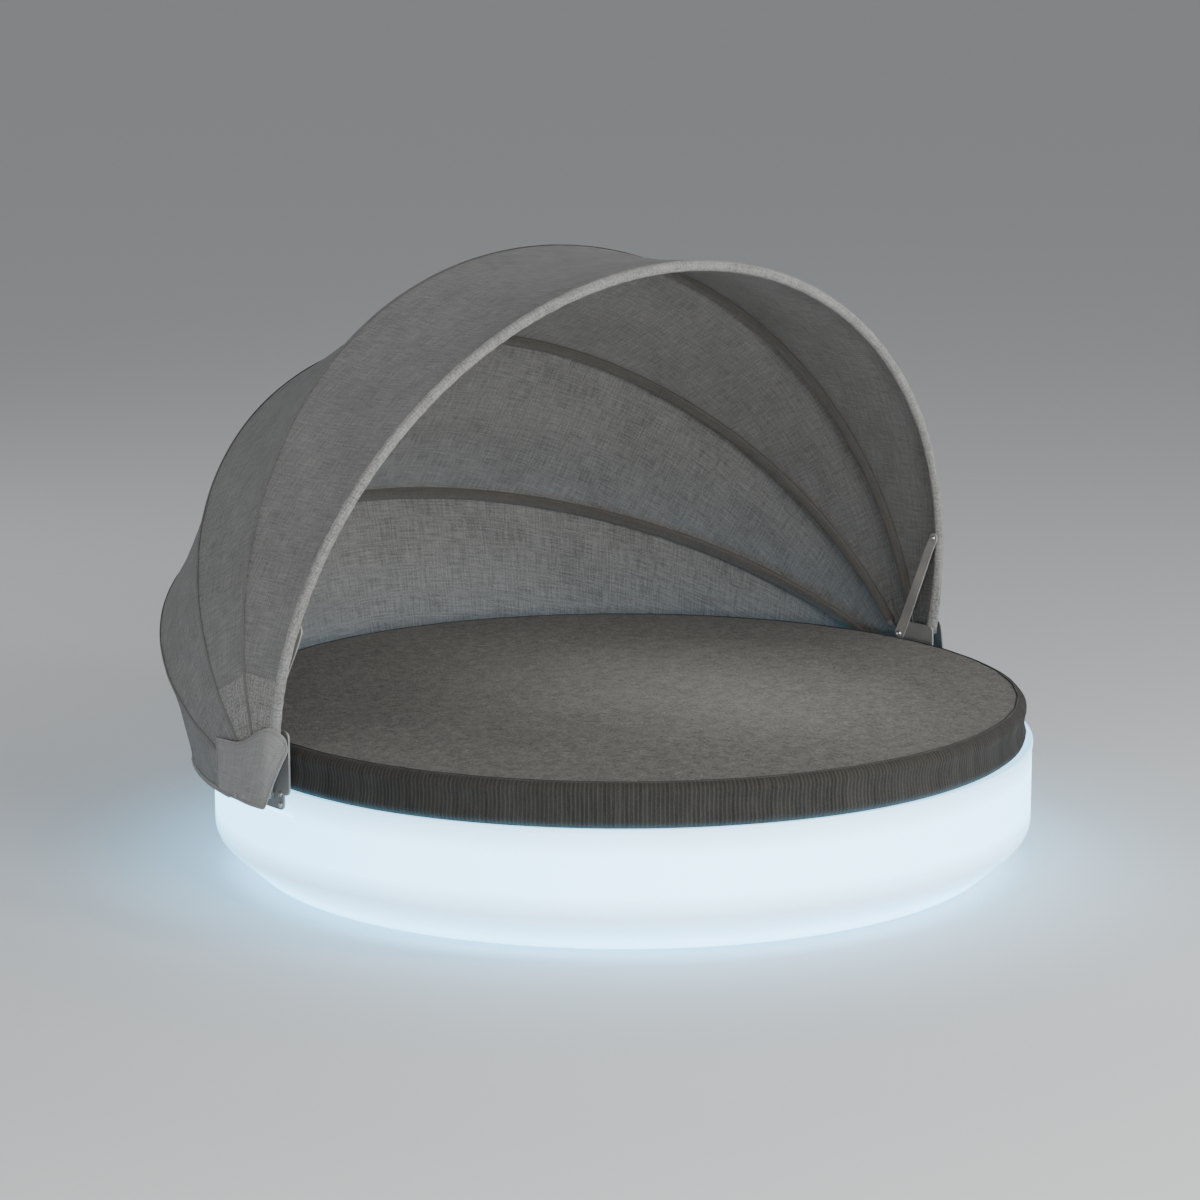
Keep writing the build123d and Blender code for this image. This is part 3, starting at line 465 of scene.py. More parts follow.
def on_circle(radius, angles, height=0.0):
    """Points round the Z axis, one for each angle."""
    radius, angles, height = np.broadcast_arrays(radius, angles, height)
    return np.stack([radius * np.cos(angles), radius * np.sin(angles), height], axis=-1)


def full_turn(sides):
    return np.linspace(0, 2 * math.pi, sides, endpoint=False)


def run_along(points):
    """Metres from the first point to each point."""
    return np.concatenate([[0], np.cumsum(np.linalg.norm(np.diff(points, axis=0), axis=1))])


def stood_off(points, *moves):
    """A grid with a row for each point: the point moved along its directions by amounts."""
    rows = points[:, None, :]
    for direction, amounts in moves:
        rows = rows + direction[:, None, :] * amounts[:, :, None]
    return rows


def level_rings(around, reach, height, thickness, sides):
    """Rings along a level circle, for a tube or a cord."""
    outward = on_circle(1.0, around)
    centre = outward * np.broadcast_to(reach, around.shape)[:, None] + [0, 0, height]
    return np.stack([
        centre + (outward * np.cos(turn) + [0, 0, np.sin(turn)]) * thickness[:, None]
        for turn in full_turn(sides)
    ], axis=1)


def grid_normals(rows, away=pivot):
    """The normals of a grid of points, pointing away from the given place or places."""
    normals = unit(np.cross(np.gradient(rows, axis=0), np.gradient(rows, axis=1)))
    if np.sum(normals * (rows - np.array(away)), axis=2).mean() < 0:
        normals = -normals
    return normals


def grid_faces(count, wide, around=False):
    index = np.arange(count * wide).reshape(count, wide)
    after = np.roll(index, -1, axis=1) if around else index[:, 1:]
    here = index if around else index[:, :-1]
    quads = np.stack([here[:-1], here[1:], after[1:], after[:-1]], axis=-1)
    return [tuple(quad) for quad in quads.reshape(-1, 4).tolist()], index


def lengths_along(rows):
    """Metres along and across a grid, for its UV map."""
    along = np.linalg.norm(np.diff(rows, axis=0), axis=2).mean(axis=1)
    across = np.linalg.norm(np.diff(rows, axis=1), axis=2).mean(axis=0)
    run = np.concatenate([[0], np.cumsum(along)])
    span = np.concatenate([[0], np.cumsum(across)])
    return np.stack(np.meshgrid(run, span, indexing="ij"), axis=-1)


def cloth_piece(name, rows, thickness, paint, away=pivot, uv=None, lift=0.0):
    """A closed sheet from a grid of its inner face, thickened away from a place."""
    normals = grid_normals(rows, away)
    thick = thickness if np.ndim(thickness) == 0 else thickness[:, :, None]
    inner = rows + normals * lift
    outer = inner + normals * thick
    count, wide = rows.shape[:2]
    faces, index = grid_faces(count, wide)
    rise = count * wide
    faces += [(d + rise, c + rise, b + rise, a + rise) for a, b, c, d in faces]
    edge = [*index[:, 0], *index[-1, 1:], *index[-2::-1, -1], *index[0, -2:0:-1]]
    edge = [int(corner) for corner in edge]
    faces += [(b, a, a + rise, b + rise) for a, b in zip(edge, edge[1:] + edge[:1])]
    points = np.concatenate([inner.reshape(-1, 3), outer.reshape(-1, 3)])
    piece = mesh_piece(name, points, faces, paint, recalculate=True)
    flat = (lengths_along(rows) if uv is None else uv).reshape(-1, 2)
    set_uv(piece, np.concatenate([flat, flat]))
    return piece


def tube_piece(name, rings, paint):
    """A closed tube through rings of points, each ring a row of the grid."""
    count, wide = rings.shape[:2]
    faces, index = grid_faces(count, wide, around=True)
    faces.append(tuple(index[0].tolist()))
    faces.append(tuple(index[-1, ::-1].tolist()))
    piece = mesh_piece(name, rings.reshape(-1, 3), faces, paint, recalculate=True)
    set_uv(piece, lengths_along(rings).reshape(-1, 2))
    return piece


# Pieces that repeat

def repeat_tree():
    """Sets one shape on every point, turned to the point's two directions."""
    tree = bpy.data.node_groups.new("shapes_on_points", "GeometryNodeTree")
    for name, kind in (("Points", "NodeSocketGeometry"), ("Shape", "NodeSocketObject"),
                       ("Scale", "NodeSocketFloat"), ("Finish", "NodeSocketMaterial")):
        tree.interface.new_socket(name, in_out="INPUT", socket_type=kind)
    tree.interface.new_socket("Result", in_out="OUTPUT", socket_type="NodeSocketGeometry")
    inputs = tree.nodes.new("NodeGroupInput").outputs
    facing, along = (
        node(tree, "GeometryNodeInputNamedAttribute", {"Name": name}, data_type="FLOAT_VECTOR")
        for name in ("facing", "along")
    )
    first = node(tree, "FunctionNodeAlignRotationToVector", {
        "Vector": facing.outputs["Attribute"],
    }, axis="Z")
    second = node(tree, "FunctionNodeAlignRotationToVector", {
        "Rotation": first.outputs["Rotation"], "Vector": along.outputs["Attribute"],
    }, axis="X", pivot_axis="Z")
    shape = node(tree, "GeometryNodeObjectInfo", {"Object": inputs["Shape"]})
    placed = node(tree, "GeometryNodeInstanceOnPoints", {
        "Points": inputs["Points"], "Instance": shape.outputs["Geometry"],
        "Rotation": second.outputs["Rotation"], "Scale": inputs["Scale"],
    })
    real = node(tree, "GeometryNodeRealizeInstances", {"Geometry": placed.outputs["Instances"]})
    dressed = node(tree, "GeometryNodeSetMaterial", {
        "Geometry": real.outputs["Geometry"], "Material": inputs["Finish"],
    })
    result = tree.nodes.new("NodeGroupOutput")
    tree.links.new(dressed.outputs["Geometry"], result.inputs["Result"])
    return tree


def repeated(name, shape, places, facing, along, paint, body):
    """One mesh with the shape at every place, riding on the body."""
    mesh = bpy.data.meshes.new(name)
    mesh.from_pydata([tuple(place) for place in places], [], [])
    points = new_object(f"{name}_points", mesh)
    for key, vectors in (("facing", facing), ("along", along)):
        layer = mesh.attributes.new(key, "FLOAT_VECTOR", "POINT")
        layer.data.foreach_set("vector", np.asarray(vectors, np.float32).ravel())
    modifier = points.modifiers.new("repeat", "NODES")
    modifier.node_group = repeating
    items = repeating.interface.items_tree
    sockets = {item.name: item.identifier for item in items if item.in_out == "INPUT"}
    modifier[sockets["Shape"]] = shape
    modifier[sockets["Scale"]] = 1.0
    modifier[sockets["Finish"]] = paint
    bpy.context.view_layer.update()
    ready = points.evaluated_get(bpy.context.evaluated_depsgraph_get())
    result = bpy.data.meshes.new_from_object(ready)
    result.name = name
    if not result.materials:
        result.materials.append(paint)
    piece = new_object(name, result)
    bpy.data.objects.remove(points)
    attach(piece, body)
    return piece


def shape_from_rings(name, rings, smooth=False):
    """A closed lathe-like shape from rings of points, hidden, for repeating."""
    piece = tube_piece(name, np.array(rings), bpy.data.materials["studio_floor"])
    if not smooth:
        piece.data.shade_flat()
    bpy.context.scene.collection.objects.unlink(piece)
    return piece


ring_sides = 24


def ring(radius, height, sides=ring_sides, squeeze=1.0):
    return on_circle(radius, full_turn(sides), height) * [squeeze, 1, 1]


def hex_ring(radius, height):
    """A hexagon with as many points as the round rings."""
    angles = full_turn(ring_sides)
    local = (angles + math.pi / 6) % (math.pi / 3) - math.pi / 6
    return on_circle(radius * math.cos(math.pi / 6) / np.cos(local), angles, height)


def screw_shape(name, head, height, shank, length, hexagonal=False):
    """A screw along Z with its seat at zero, its head domed over a hexagon drive, or a hexagon."""
    rings = [ring(0.4 * shank, -length), ring(shank, -length + 0.8 * shank), ring(shank, 0.0)]
    if hexagonal:
        rings += [
            ring(0.98 * head, 0.0), ring(0.98 * head, 0.12 * height), hex_ring(head, 0.13 * height),
            hex_ring(head, 0.9 * height), ring(0.82 * head, height), ring(0.2 * head, height),
        ]
    else:
        socket, depth = 0.5 * head, 0.45 * height
        rings += [
            ring(head, 0.0), ring(head, 0.35 * height), ring(0.9 * head, 0.75 * height),
            ring(0.72 * head, height), hex_ring(1.06 * socket, height),
            hex_ring(socket, height - 0.06 * head), hex_ring(socket, height - depth),
            ring(0.1 * head, height - 1.2 * depth),
        ]
    return shape_from_rings(name, rings)


# A stitch's half length and thickness, and its sections: share of the half length, sink, radius
stitch_half, stitch_thread, stitch_sides = 0.0029, 0.00062, 5
stitch_sections = ((-1.0, 0.9, 0.45), (-0.5, 0.1, 1.0), (0.5, 0.1, 1.0), (1.0, 0.9, 0.45))
stitch_pitch = 0.0085
stitch_lift = 0.0003


def stitch_shape():
    """A stitch lying along X, dipped at its ends."""
    turns = full_turn(stitch_sides)
    return shape_from_rings("stitch", [np.stack([
        np.full(stitch_sides, share * stitch_half), radius * stitch_thread * np.cos(turns),
        stitch_thread * (radius * np.sin(turns) - sink + 0.6),
    ], axis=1) for share, sink, radius in stitch_sections], smooth=True)


def read_at(marks, run, values):
    return np.stack([np.interp(marks, run, axis) for axis in values.T], axis=1)


def stitch_lines(name, lines, body, paint, pitch=stitch_pitch):
    """Stitches along lines of points, each line with the outward direction at its points."""
    near = 0.001
    places, facing, along = [], [], []
    for points, outward in lines:
        run = run_along(points)
        marks = np.arange(pitch / 2, run[-1], pitch)
        places.append(read_at(marks, run, points))
        ahead, behind = (read_at(marks + step, run, points) for step in (near, -near))
        along.append(unit(ahead - behind))
        facing.append(unit(read_at(marks, run, outward)))
    repeated(
        name, stitch, np.concatenate(places), np.concatenate(facing), np.concatenate(along),
        paint, body,
    )


def lines_on(surface, normals, lines, lift=stitch_lift):
    """Lines of a grid, lifted off it, for stitches."""
    return [(surface[line] + normals[line] * lift, normals[line]) for line in lines]


# Canopy

hoop_names = ["front_hoop", "hoop_2", "hoop_3", "hoop_4"]
seam_count = 481
span_count = 33
seam_trim = 0.0003
sleeve_count = 321
sleeve_half = 0.0114
sleeve_flange = 0.0022
sleeve_waver = 0.00035
pocket_waver = 0.0001
narrow_sleeve, wide_sleeve = 0.0116, 0.0132
patch_reach = 0.25
patch_cloth = 0.0008
patch_gap = 0.0001
strip_width = 0.010
strip_cloth = 0.0007
strip_rise = 0.0012
strip_waver, strip_ripple = 0.0007, 0.0004
hem_start = 0.150
hem_radius = 0.0119
hem_ripple = 0.0005
hem_bulge = 0.0012
hem_cloth = 0.0022
hem_depth = 0.0120
flare_top = 0.46
flare_depth = 0.014
swell_height = 0.0011
pucker_height = 0.0011
pucker_length = 0.045
hub_fold_height = 0.0022
swell_count = 14
swell_shortest, swell_longest = 0.22, 0.8


def hoop_angle(place):
    return math.radians(front_angle + hoop_step * place)


def panel_lean(place, behind=True):
    """How far the cloth in front of or behind a hoop turns away from it at the crown."""
    reach = leg_length + hoop_radius
    if place < moving_hoops - 1 or not behind:
        chord = 2 * reach * math.sin(math.radians(hoop_step) / 2)
        return math.radians(hoop_step) / 2 + math.atan2(4 * panel_sag, chord)
    angle = hoop_angle(place)
    run_y = rear_radius + rear_seam_offset - (pivot.y - reach * math.cos(angle))
    run_z = rear_tube_z - (pivot.z + reach * math.sin(angle))
    chord = math.hypot(run_y, run_z)
    along = (run_y * math.sin(angle) + run_z * math.cos(angle)) / chord
    return math.acos(along) + math.atan2(4 * panel_sag, chord)


def crown_share(around):
    """Nothing at a hoop's legs and 1 at its crown, for the turn round the hoop."""
    return 1 - (1 - np.sin(around)) ** 2


def hoop_seam(place, start, count, offset=seam_offset):
    """Points along a hoop at an offset from its tube's centre, with their turns round it."""
    crown_offset = offset / math.cos(panel_lean(place))
    straight = leg_length - start
    total = 2 * straight + math.pi * hoop_radius
    angle = hoop_angle(place)
    run = np.linspace(0, total, count)
    around = np.clip((run - straight) / hoop_radius, 0, math.pi)
    radius = hoop_radius + offset + (crown_offset - offset) * crown_share(around)
    reach = leg_length + radius * np.sin(around)
    reach = np.where(run < straight, start + run, reach)
    reach = np.where(total - run < straight, start + total - run, reach)
    y, z = pivot.y - reach * math.cos(angle), pivot.z + reach * math.sin(angle)
    return np.stack([radius * np.cos(around), y, z], axis=1), around, run


def hoop_directions(place, around):
    """Outwards and backwards at points round a hoop."""
    angle = hoop_angle(place)
    outward = np.stack([
        np.cos(around), -np.sin(around) * math.cos(angle), np.sin(around) * math.sin(angle),
    ], axis=1)
    backward = np.tile([0, math.sin(angle), math.cos(angle)], (len(around), 1))
    return outward, backward


def rear_seam(start, count):
    radius = rear_radius + rear_seam_offset
    first = math.asin((pivot.y + start) / radius)
    around = np.linspace(first, math.pi - first, count)
    return on_circle(radius, around, rear_tube_z), around, (around - first) * radius


def billow(run, shares, chord, seed):
    """How far the cloth stands off its taut form: swells, seam puckers and folds at the hubs."""
    random = np.random.default_rng(seed)
    across = shares * chord[:, None]
    run = run[:, None]
    edge = np.minimum(across, chord[:, None] - across)
    swell = np.zeros_like(across)
    for _ in range(swell_count):
        length = random.uniform(swell_shortest, swell_longest)
        turn = random.uniform(0, math.pi)
        phase = random.uniform(0, 6.3)
        along = run * math.cos(turn) + across * math.sin(turn)
        swell += length * np.sin(2 * math.pi / length * along + phase)
    pucker = np.sin(2 * math.pi * run / pucker_length + 2.0 * np.sin(run * 9.0 + seed))
    pucker = pucker * (0.6 + 0.4 * np.sin(run * 23.0 + 2 * seed))
    hub = np.minimum(run, run[-1] - run)
    folds = np.sin(shares * 5 * math.pi + seed) * np.exp(-hub / 0.22) * np.clip(hub / 0.05, 0, 1)
    fade = np.clip(edge / 0.02, 0, 1)
    return (
        swell_height * swell * np.clip(edge / 0.12, 0, 1)
        + pucker_height * pucker * np.exp(-edge / 0.03) * fade + hub_fold_height * folds * fade
    )


def canopy_rows(front, back, seed):
    (front_points, around, run), (back_points, _, _) = front, back
    steps = np.linspace(0, 1, span_count)
    share = 0.3 * steps + 0.7 * (0.5 - 0.5 * np.cos(math.pi * steps))
    chord = np.linalg.norm(back_points - front_points, axis=1)
    trim = seam_trim / chord
    shares = trim[:, None] + (1 - 2 * trim[:, None]) * share[None, :]
    mix = shares[:, :, None]
    straight = front_points[:, None, :] * (1 - mix) + back_points[:, None, :] * mix
    inward = unit(np.array(pivot) - (front_points + back_points) / 2)
    sag = panel_sag * 4 * shares * (1 - shares) * np.sin(around)[:, None]
    rows = straight + inward[:, None, :] * sag[:, :, None]
    rows = rows + grid_normals(rows) * billow(run, shares, chord, seed)[:, :, None]
    return rows, shares, chord


def blended_cloth(name, rows, thickness, paint, uv, lift=0.0):
    piece = cloth_piece(name, rows, thickness, paint, uv=uv, lift=lift)
    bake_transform(piece)
    return piece


def canopy_panel(number, front, back, paint, patch_paint):
    rows, shares, chord = canopy_rows(front, back, number)
    points, _, run = front
    uv = np.stack([np.broadcast_to(run[:, None], shares.shape), shares * chord[:, None]], axis=-1)
    piece = blended_cloth(
        f"canopy_cloth_{number}", rows, canopy_cloth, paint, uv
    )
    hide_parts(f"canopy_panel_{number}")
    if number > 2:
        return
    reach = int(patch_reach / (run[1] - run[0]))
    for side, span in (("right", slice(2, reach)), ("left", slice(-reach, -2))):
        kept = span, slice(1, -1)
        patch = blended_cloth(
            f"hub_patch_{number}_{side}", rows[kept], patch_cloth,
            patch_paint, uv[kept], lift=canopy_cloth + patch_gap,
        )


def seam_strip(name, points, outward, backward, leans, body, paint):
    """A tape over a seam, with two lines of stitches."""
    sides = np.linspace(-0.5, 0.5, 7) * strip_width
    slopes = [np.tan(lean)[:, None] for lean in leans]
    fall = np.where(sides[None, :] < 0, *slopes) * np.abs(sides)
    count = np.arange(len(points))
    waver = strip_waver * np.sin(count * 0.23) + strip_ripple * np.sin(count * 0.61)
    rows = stood_off(
        points, (outward, canopy_cloth + strip_rise - fall),
        (backward, sides[None, :] + waver[:, None]),
    )
    piece = cloth_piece(name, rows, strip_cloth, paint)
    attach(piece, body)
    normals = grid_normals(rows)
    lines = (slice(None), 1), (slice(None), 5)
    return lines_on(rows, normals, lines, strip_cloth + stitch_lift)


def hoop_sleeve(place, name, width, paint):
    """The pocket round a hoop, flattened by the cloth it is sewn to, and its stitch lines."""
    points, around, _ = hoop_seam(place, leg_length, sleeve_count, 0.0)
    outward, backward = hoop_directions(place, around)
    share = crown_share(around)
    swollen = np.clip(np.sin(around) / 0.4, 0, 1)
    half = sleeve_half + (width - sleeve_half) * swollen
    flange = half + sleeve_flange * swollen
    front, behind = (
        np.tan(panel_lean(place, behind=sewn_behind)) * share for sewn_behind in (False, True)
    )
    crown = seam_offset / math.cos(panel_lean(place))
    top = seam_offset + (crown - seam_offset) * share - 0.0006
    waver = sleeve_waver * np.sin(np.linspace(0, 260, sleeve_count))
    waver = waver * np.sin(np.linspace(0, 31, sleeve_count))

    def round_tube(side, turn):
        return side * half * np.sin(turn) ** 0.8, sleeve_radius * np.cos(turn) - 0.0004 + waver

    def one_side(side, lean):
        shares = (0.35, 0.7, 1.0)
        shoulder = [(side * out * flange, top - out * flange * lean) for out in shares]
        shoulder.append((side * flange, top - flange * lean - 0.0011))
        turns = np.radians([62, 80, 100, 120, 140, 160])
        return shoulder + [round_tube(side, turn) for turn in turns]

    if place == 0:
        radius = sleeve_radius + waver
        profile = [(radius * np.sin(turn), radius * np.cos(turn)) for turn in full_turn(20)]
    else:
        profile = [(np.zeros_like(top), top), *one_side(1, behind), round_tube(1, math.pi)]
        profile += one_side(-1, front)[::-1]
    rings = stood_off(
        points, (backward, np.stack([back for back, _ in profile], axis=1)),
        (outward, np.stack([out for _, out in profile], axis=1)),
    )
    piece = tube_piece(f"{name}_pocket", rings, paint)
    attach(piece, name)
    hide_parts(f"{name}_sleeve")
    lines = []
    for side, lean in ((1, behind), (-1, front)) if place else ():
        back, out = side * (flange - 0.0008), top - flange * lean - 0.0014
        line = points + backward * back[:, None] + outward * out[:, None]
        lines.append((line[6:-6], -outward[6:-6]))
    return piece, lines


def front_hem(paint):
    """The cloth turned round the front hoop, pulled forward where it meets the hub flaps."""
    points, around, run = hoop_seam(0, hem_start, seam_count, 0.0)
    outward, backward = hoop_directions(0, around)
    reach = np.minimum(run, run[-1] - run) + hem_start
    turns = np.radians(np.linspace(-42, 188, 26))
    pull = flare_depth * np.clip((flare_top - reach) / (flare_top - hem_start), 0, 1) ** 1.8
    section = (hem_radius + hem_ripple * np.sin(run * 130.0 + 3 * np.sin(run * 17.0)))[:, None]
    forward = section * np.sin(turns) + pull[:, None] * np.clip(np.sin(turns), 0, 1) ** 2
    rows = stood_off(points, (outward, section * np.cos(turns)), (-backward, forward))
    away = points[:, None, :]
    piece = cloth_piece("front_hem_cloth", rows, canopy_cloth, paint, away=away)
    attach(piece, "front_hoop")
    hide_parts("front_hem")
    lines = (slice(None), 3), (slice(None), 22)
    return lines_on(rows, grid_normals(rows, away), lines, canopy_cloth + stitch_lift)


def rear_pocket(paint):
    """The cloth pocket round the rear hoop."""
    start = math.asin(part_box("rear_hoop_sleeve")[0].y / rear_radius)
    around = np.linspace(start, math.pi - start, sleeve_count)
    radius = sleeve_radius + pocket_waver * np.sin(np.arange(sleeve_count) * 0.8)
    rings = level_rings(around, rear_radius, rear_tube_z, radius, 24)
    piece = tube_piece("rear_hoop_pocket", rings, paint)
    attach(piece, "base")
    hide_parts("rear_hoop_sleeve")
    return piece


def rear_hem(paint, pocket):
    """A narrow creased band below the rear seam."""
    points, around, run = rear_seam(rear_panel_start, seam_count)
    depth = np.linspace(0, 1, 9)
    crease = np.sin(run * 95.0 + 3.0 * np.sin(run * 11.0)) * np.sin(run * 3.1)
    bulge = hem_bulge * (0.5 + crease[:, None] * depth + np.sin(math.pi * depth) ** 2)
    rows = stood_off(points, (on_circle(1.0, around), bulge))
    rows[:, :, 2] -= 0.0003 + hem_depth * depth[None, :]
    piece = cloth_piece("rear_hem_cloth", rows, hem_cloth, paint)
    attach(piece, "base")
    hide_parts("rear_hem")
    normals = grid_normals(rows)
    return lines_on(rows, normals, [(slice(None), 6)], hem_cloth + stitch_lift)


def make_canopy():
    cloth = canopy_finish("canopy_cloth", (0.069, 0.069, 0.068), (0.225, 0.225, 0.221), 0.08)
    patch = canopy_finish("patch_cloth", (0.075, 0.074, 0.070), (0.275, 0.272, 0.262), mottled=0.28)
    hem = canopy_finish("hem_cloth", (0.10, 0.10, 0.097), (0.27, 0.27, 0.262), mottled=0.22)
    # The seam tapes are darker than the cloth with the hoops' painted shadow.
    tape = canopy_finish("seam_tape_painted_shadow", (0.070, 0.069, 0.066), (0.155, 0.153, 0.147))
    band = canopy_finish("sleeve_band", (0.043, 0.0405, 0.036), (0.082, 0.078, 0.070))
    thread = thread_finish("sewing_thread", (0.16, 0.16, 0.157))
    dark_thread = thread_finish("band_thread", (0.085, 0.081, 0.075))
    seams = [hoop_seam(place, panel_start, seam_count) for place in range(moving_hoops)]
    last = hoop_seam(moving_hoops - 1, rear_panel_start, seam_count)
    pairs = [*zip(seams, seams[1:]), (last, rear_seam(rear_panel_start, seam_count))]
    for place, (front, back) in enumerate(pairs):
        canopy_panel(place + 1, front, back, cloth, patch)
    for place, name in enumerate(hoop_names):
        width = narrow_sleeve if place == 1 else wide_sleeve
        pocket, inside = hoop_sleeve(place, name, width, band)
        if place:
            points, around, _ = seams[place]
            outward, backward = hoop_directions(place, around)
            share = crown_share(around)
            leans = (panel_lean(place, behind=False) * share, panel_lean(place) * share)
            lines = seam_strip(
                f"seam_tape_{name}", points, outward, backward, leans, name, tape
            )
            stitch_lines(f"pocket_stitches_{name}", inside, name, dark_thread)
        else:
            lines = front_hem(hem)
        stitch_lines(f"stitches_{name}", lines, name, thread)
    stitch_lines("stitches_rear", rear_hem(hem, rear_pocket(band)), "base", thread)


# Hub flaps

flap_cloth = 0.0015
flap_gap = 0.003
flap_fold = 0.010
flap_below = 0.023
flap_back = leg_length
flap_low_front = 0.050
flap_front = 0.090
flap_peak_rise = 0.176
flap_wrap_start = 0.028
flap_wrap_depth = 0.030
flap_round = 0.012
flap_swell = 0.0022
flap_ripple = 0.0012
flap_sway = 0.0015
flap_step = 0.0012
flap_groove = 0.0005
flap_inset = 0.002
flap_stitch_pitch = 0.007
# The flap's upper edge from its front corner over the tongue to the back, from the pivot
flap_top_back = (-0.090, -0.080, -0.048, -0.002, 0.064, 0.195)
flap_top_rise = (0.125, 0.158, 0.176, 0.163, 0.127, 0.111)


def smooth_through(places, values, marks):
    """A smooth curve through a few values, at the marks between the places."""
    slopes = np.gradient(values, places)
    index = np.clip(np.searchsorted(places, marks) - 1, 0, len(places) - 2)
    gap = places[index + 1] - places[index]
    t = (marks - places[index]) / gap
    return (
        values[index] * (1 + 2 * t) * (1 - t) ** 2 + slopes[index] * gap * t * (1 - t) ** 2
        + values[index + 1] * t**2 * (3 - 2 * t) + slopes[index + 1] * gap * t**2 * (t - 1)
    )


def flap_edges(wide):
    """The flap's lower and upper edges, back and rise from the pivot, from front to back."""
    back, rise = np.array(flap_top_back), np.array(flap_top_rise)
    run = run_along(np.stack([back, rise], axis=1))
    marks = np.linspace(0, run[-1], wide)
    upper = np.stack([smooth_through(run, back, marks), smooth_through(run, rise, marks)], axis=1)
    low = np.linspace(-flap_low_front, flap_back, wide)
    corner = np.minimum(np.minimum(low + flap_low_front, flap_back - low), flap_round)
    lift = flap_round - np.sqrt(corner * (2 * flap_round - corner))
    return np.stack([low, lift - flap_below], axis=1), upper


def flap_face_x(back, rise):
    """Where the flap's inner face is: upright over the hub, flared below and wrapped in front."""
    radius = rear_radius + rear_seam_offset + canopy_cloth + flap_gap
    low_x = np.sqrt(radius**2 - (pivot.y + back) ** 2)
    top_x = hoop_radius + seam_offset + canopy_cloth + flap_gap
    share = (rise + flap_below) / (flap_peak_rise + flap_below)
    wrap = np.maximum(-flap_wrap_start - back, 0) / (flap_front - flap_wrap_start)
    return low_x + (top_x - low_x) * share - flap_wrap_depth * wrap**2


def make_flap(side, name, paint):
    """A hanging cloth over a hub, with a turned and stitched edge."""
    wide, tall = 121, 93
    lower, upper = flap_edges(wide)
    share = np.linspace(0, 1, tall)
    flat = lower[:, None] * (1 - share[:, None]) + upper[:, None] * share[:, None]
    back, rise = flat[:, :, 0], flat[:, :, 1]
    heights = np.linalg.norm(upper - lower, axis=1)[:, None]
    across = np.linalg.norm(np.diff(flat, axis=0), axis=2)
    run = np.concatenate([np.zeros((1, tall)), np.cumsum(across, axis=0)])
    edge = np.minimum(np.minimum(run, run[-1:] - run), np.minimum(share, 1 - share) * heights)
    soft = np.clip(edge / 0.05, 0, 1)
    y, z = pivot.y + back, pivot.z + rise
    swell = flap_swell * np.sin(y * 31.0 + z * 17.0 + side)
    swell = swell + flap_ripple * np.sin(z * 60.0 - y * 25.0)
    sway = flap_sway * np.sin(y * 45.0 + side) * np.clip(1 - rise / 0.10, 0, 1)
    x = flap_face_x(back, rise) + np.maximum(swell * soft, -0.001) + 0.0015 + sway
    rows = np.stack([side * x, y, z], axis=2)
    fold = np.clip((flap_fold - edge) / flap_step, 0, 1)
    groove = np.exp(-((edge - flap_fold + flap_inset) / flap_step) ** 2)
    thick = flap_cloth * (1 + 0.75 * fold) - flap_groove * groove
    thick = thick * np.clip(0.55 + edge / 0.002, 0, 1)
    piece = cloth_piece(f"hub_flap_cloth_{name}", rows, thick, paint)
    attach(piece, "base")
    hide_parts(f"hub_flap_{name}")
    normals = grid_normals(rows)
    surface = rows + normals * thick[:, :, None]
    inset = flap_fold - flap_inset
    column = int(round(inset / float(run[-1].mean()) * (wide - 1)))
    row = int(round(inset / float(heights.mean()) * (tall - 1)))
    across, along = slice(column, -column), slice(row, -row)
    return lines_on(surface, normals, [
        (across, row), (across, tall - 1 - row), (column, along), (wide - 1 - column, along),
    ])


def make_flaps():
    cloth = canopy_finish("flap_cloth", (0.14, 0.14, 0.139), (0.265, 0.265, 0.262), mottled=0.05)
    thread = bpy.data.materials["sewing_thread"]
    lines = make_flap(-1, "left", cloth) + make_flap(1, "right", cloth)
    stitch_lines("stitches_flaps", lines, "base", thread, flap_stitch_pitch)


# Mattress

rib_pitch = 0.0105
rib_depth = 0.0012
columns_per_rib = 4
# One column of the flat faces for so many of the ribbed side
coarse_share = 8
cap_rings = 70
mattress_edge = 0.024
mattress_draw = 0.005
mattress_crown = 0.008
mattress_swell = 0.0034
mattress_gather = 0.0012
seam_turn = math.radians(183.6)
seam_dip, seam_width = 0.0022, 0.0035
side_slack = 0.0012
cord_radius = 0.0023
cord_waver, cord_ripple = 0.0008, 0.0003
zip_cloth = 0.0012
zip_inset = 0.0008
zip_waver, zip_weave = 0.0003, 0.0002
teeth_out = 0.0006
teeth_pitch = 0.0034
teeth_apart = 0.0022
teeth_reach = math.radians(59.6)


def mattress_profile(bottom, top):
    """Radius, height and share of the ribs, from the lower face's edge to the upper one's."""
    def rounded(height, turn, share):
        reach = mattress_radius - mattress_edge + mattress_edge * math.cos(turn)
        return reach, height + mattress_edge * math.sin(turn), share

    turns = [-math.pi / 2 + math.pi / 2 * step / 6 for step in range(7)]
    profile = [rounded(bottom + mattress_edge, turn, max(0.0, math.cos(turn))) for turn in turns]
    middle, half = (bottom + top) / 2, (top - bottom) / 2 - mattress_edge
    for rise in (-1 + 2 * step / 12 for step in range(1, 12)):
        profile.append((mattress_radius - mattress_draw * (1 - rise**2), middle + half * rise, 1.0))
    return profile + [
        rounded(top - mattress_edge, math.pi / 2 * step / 8, float(step < 8)) for step in range(9)
    ]


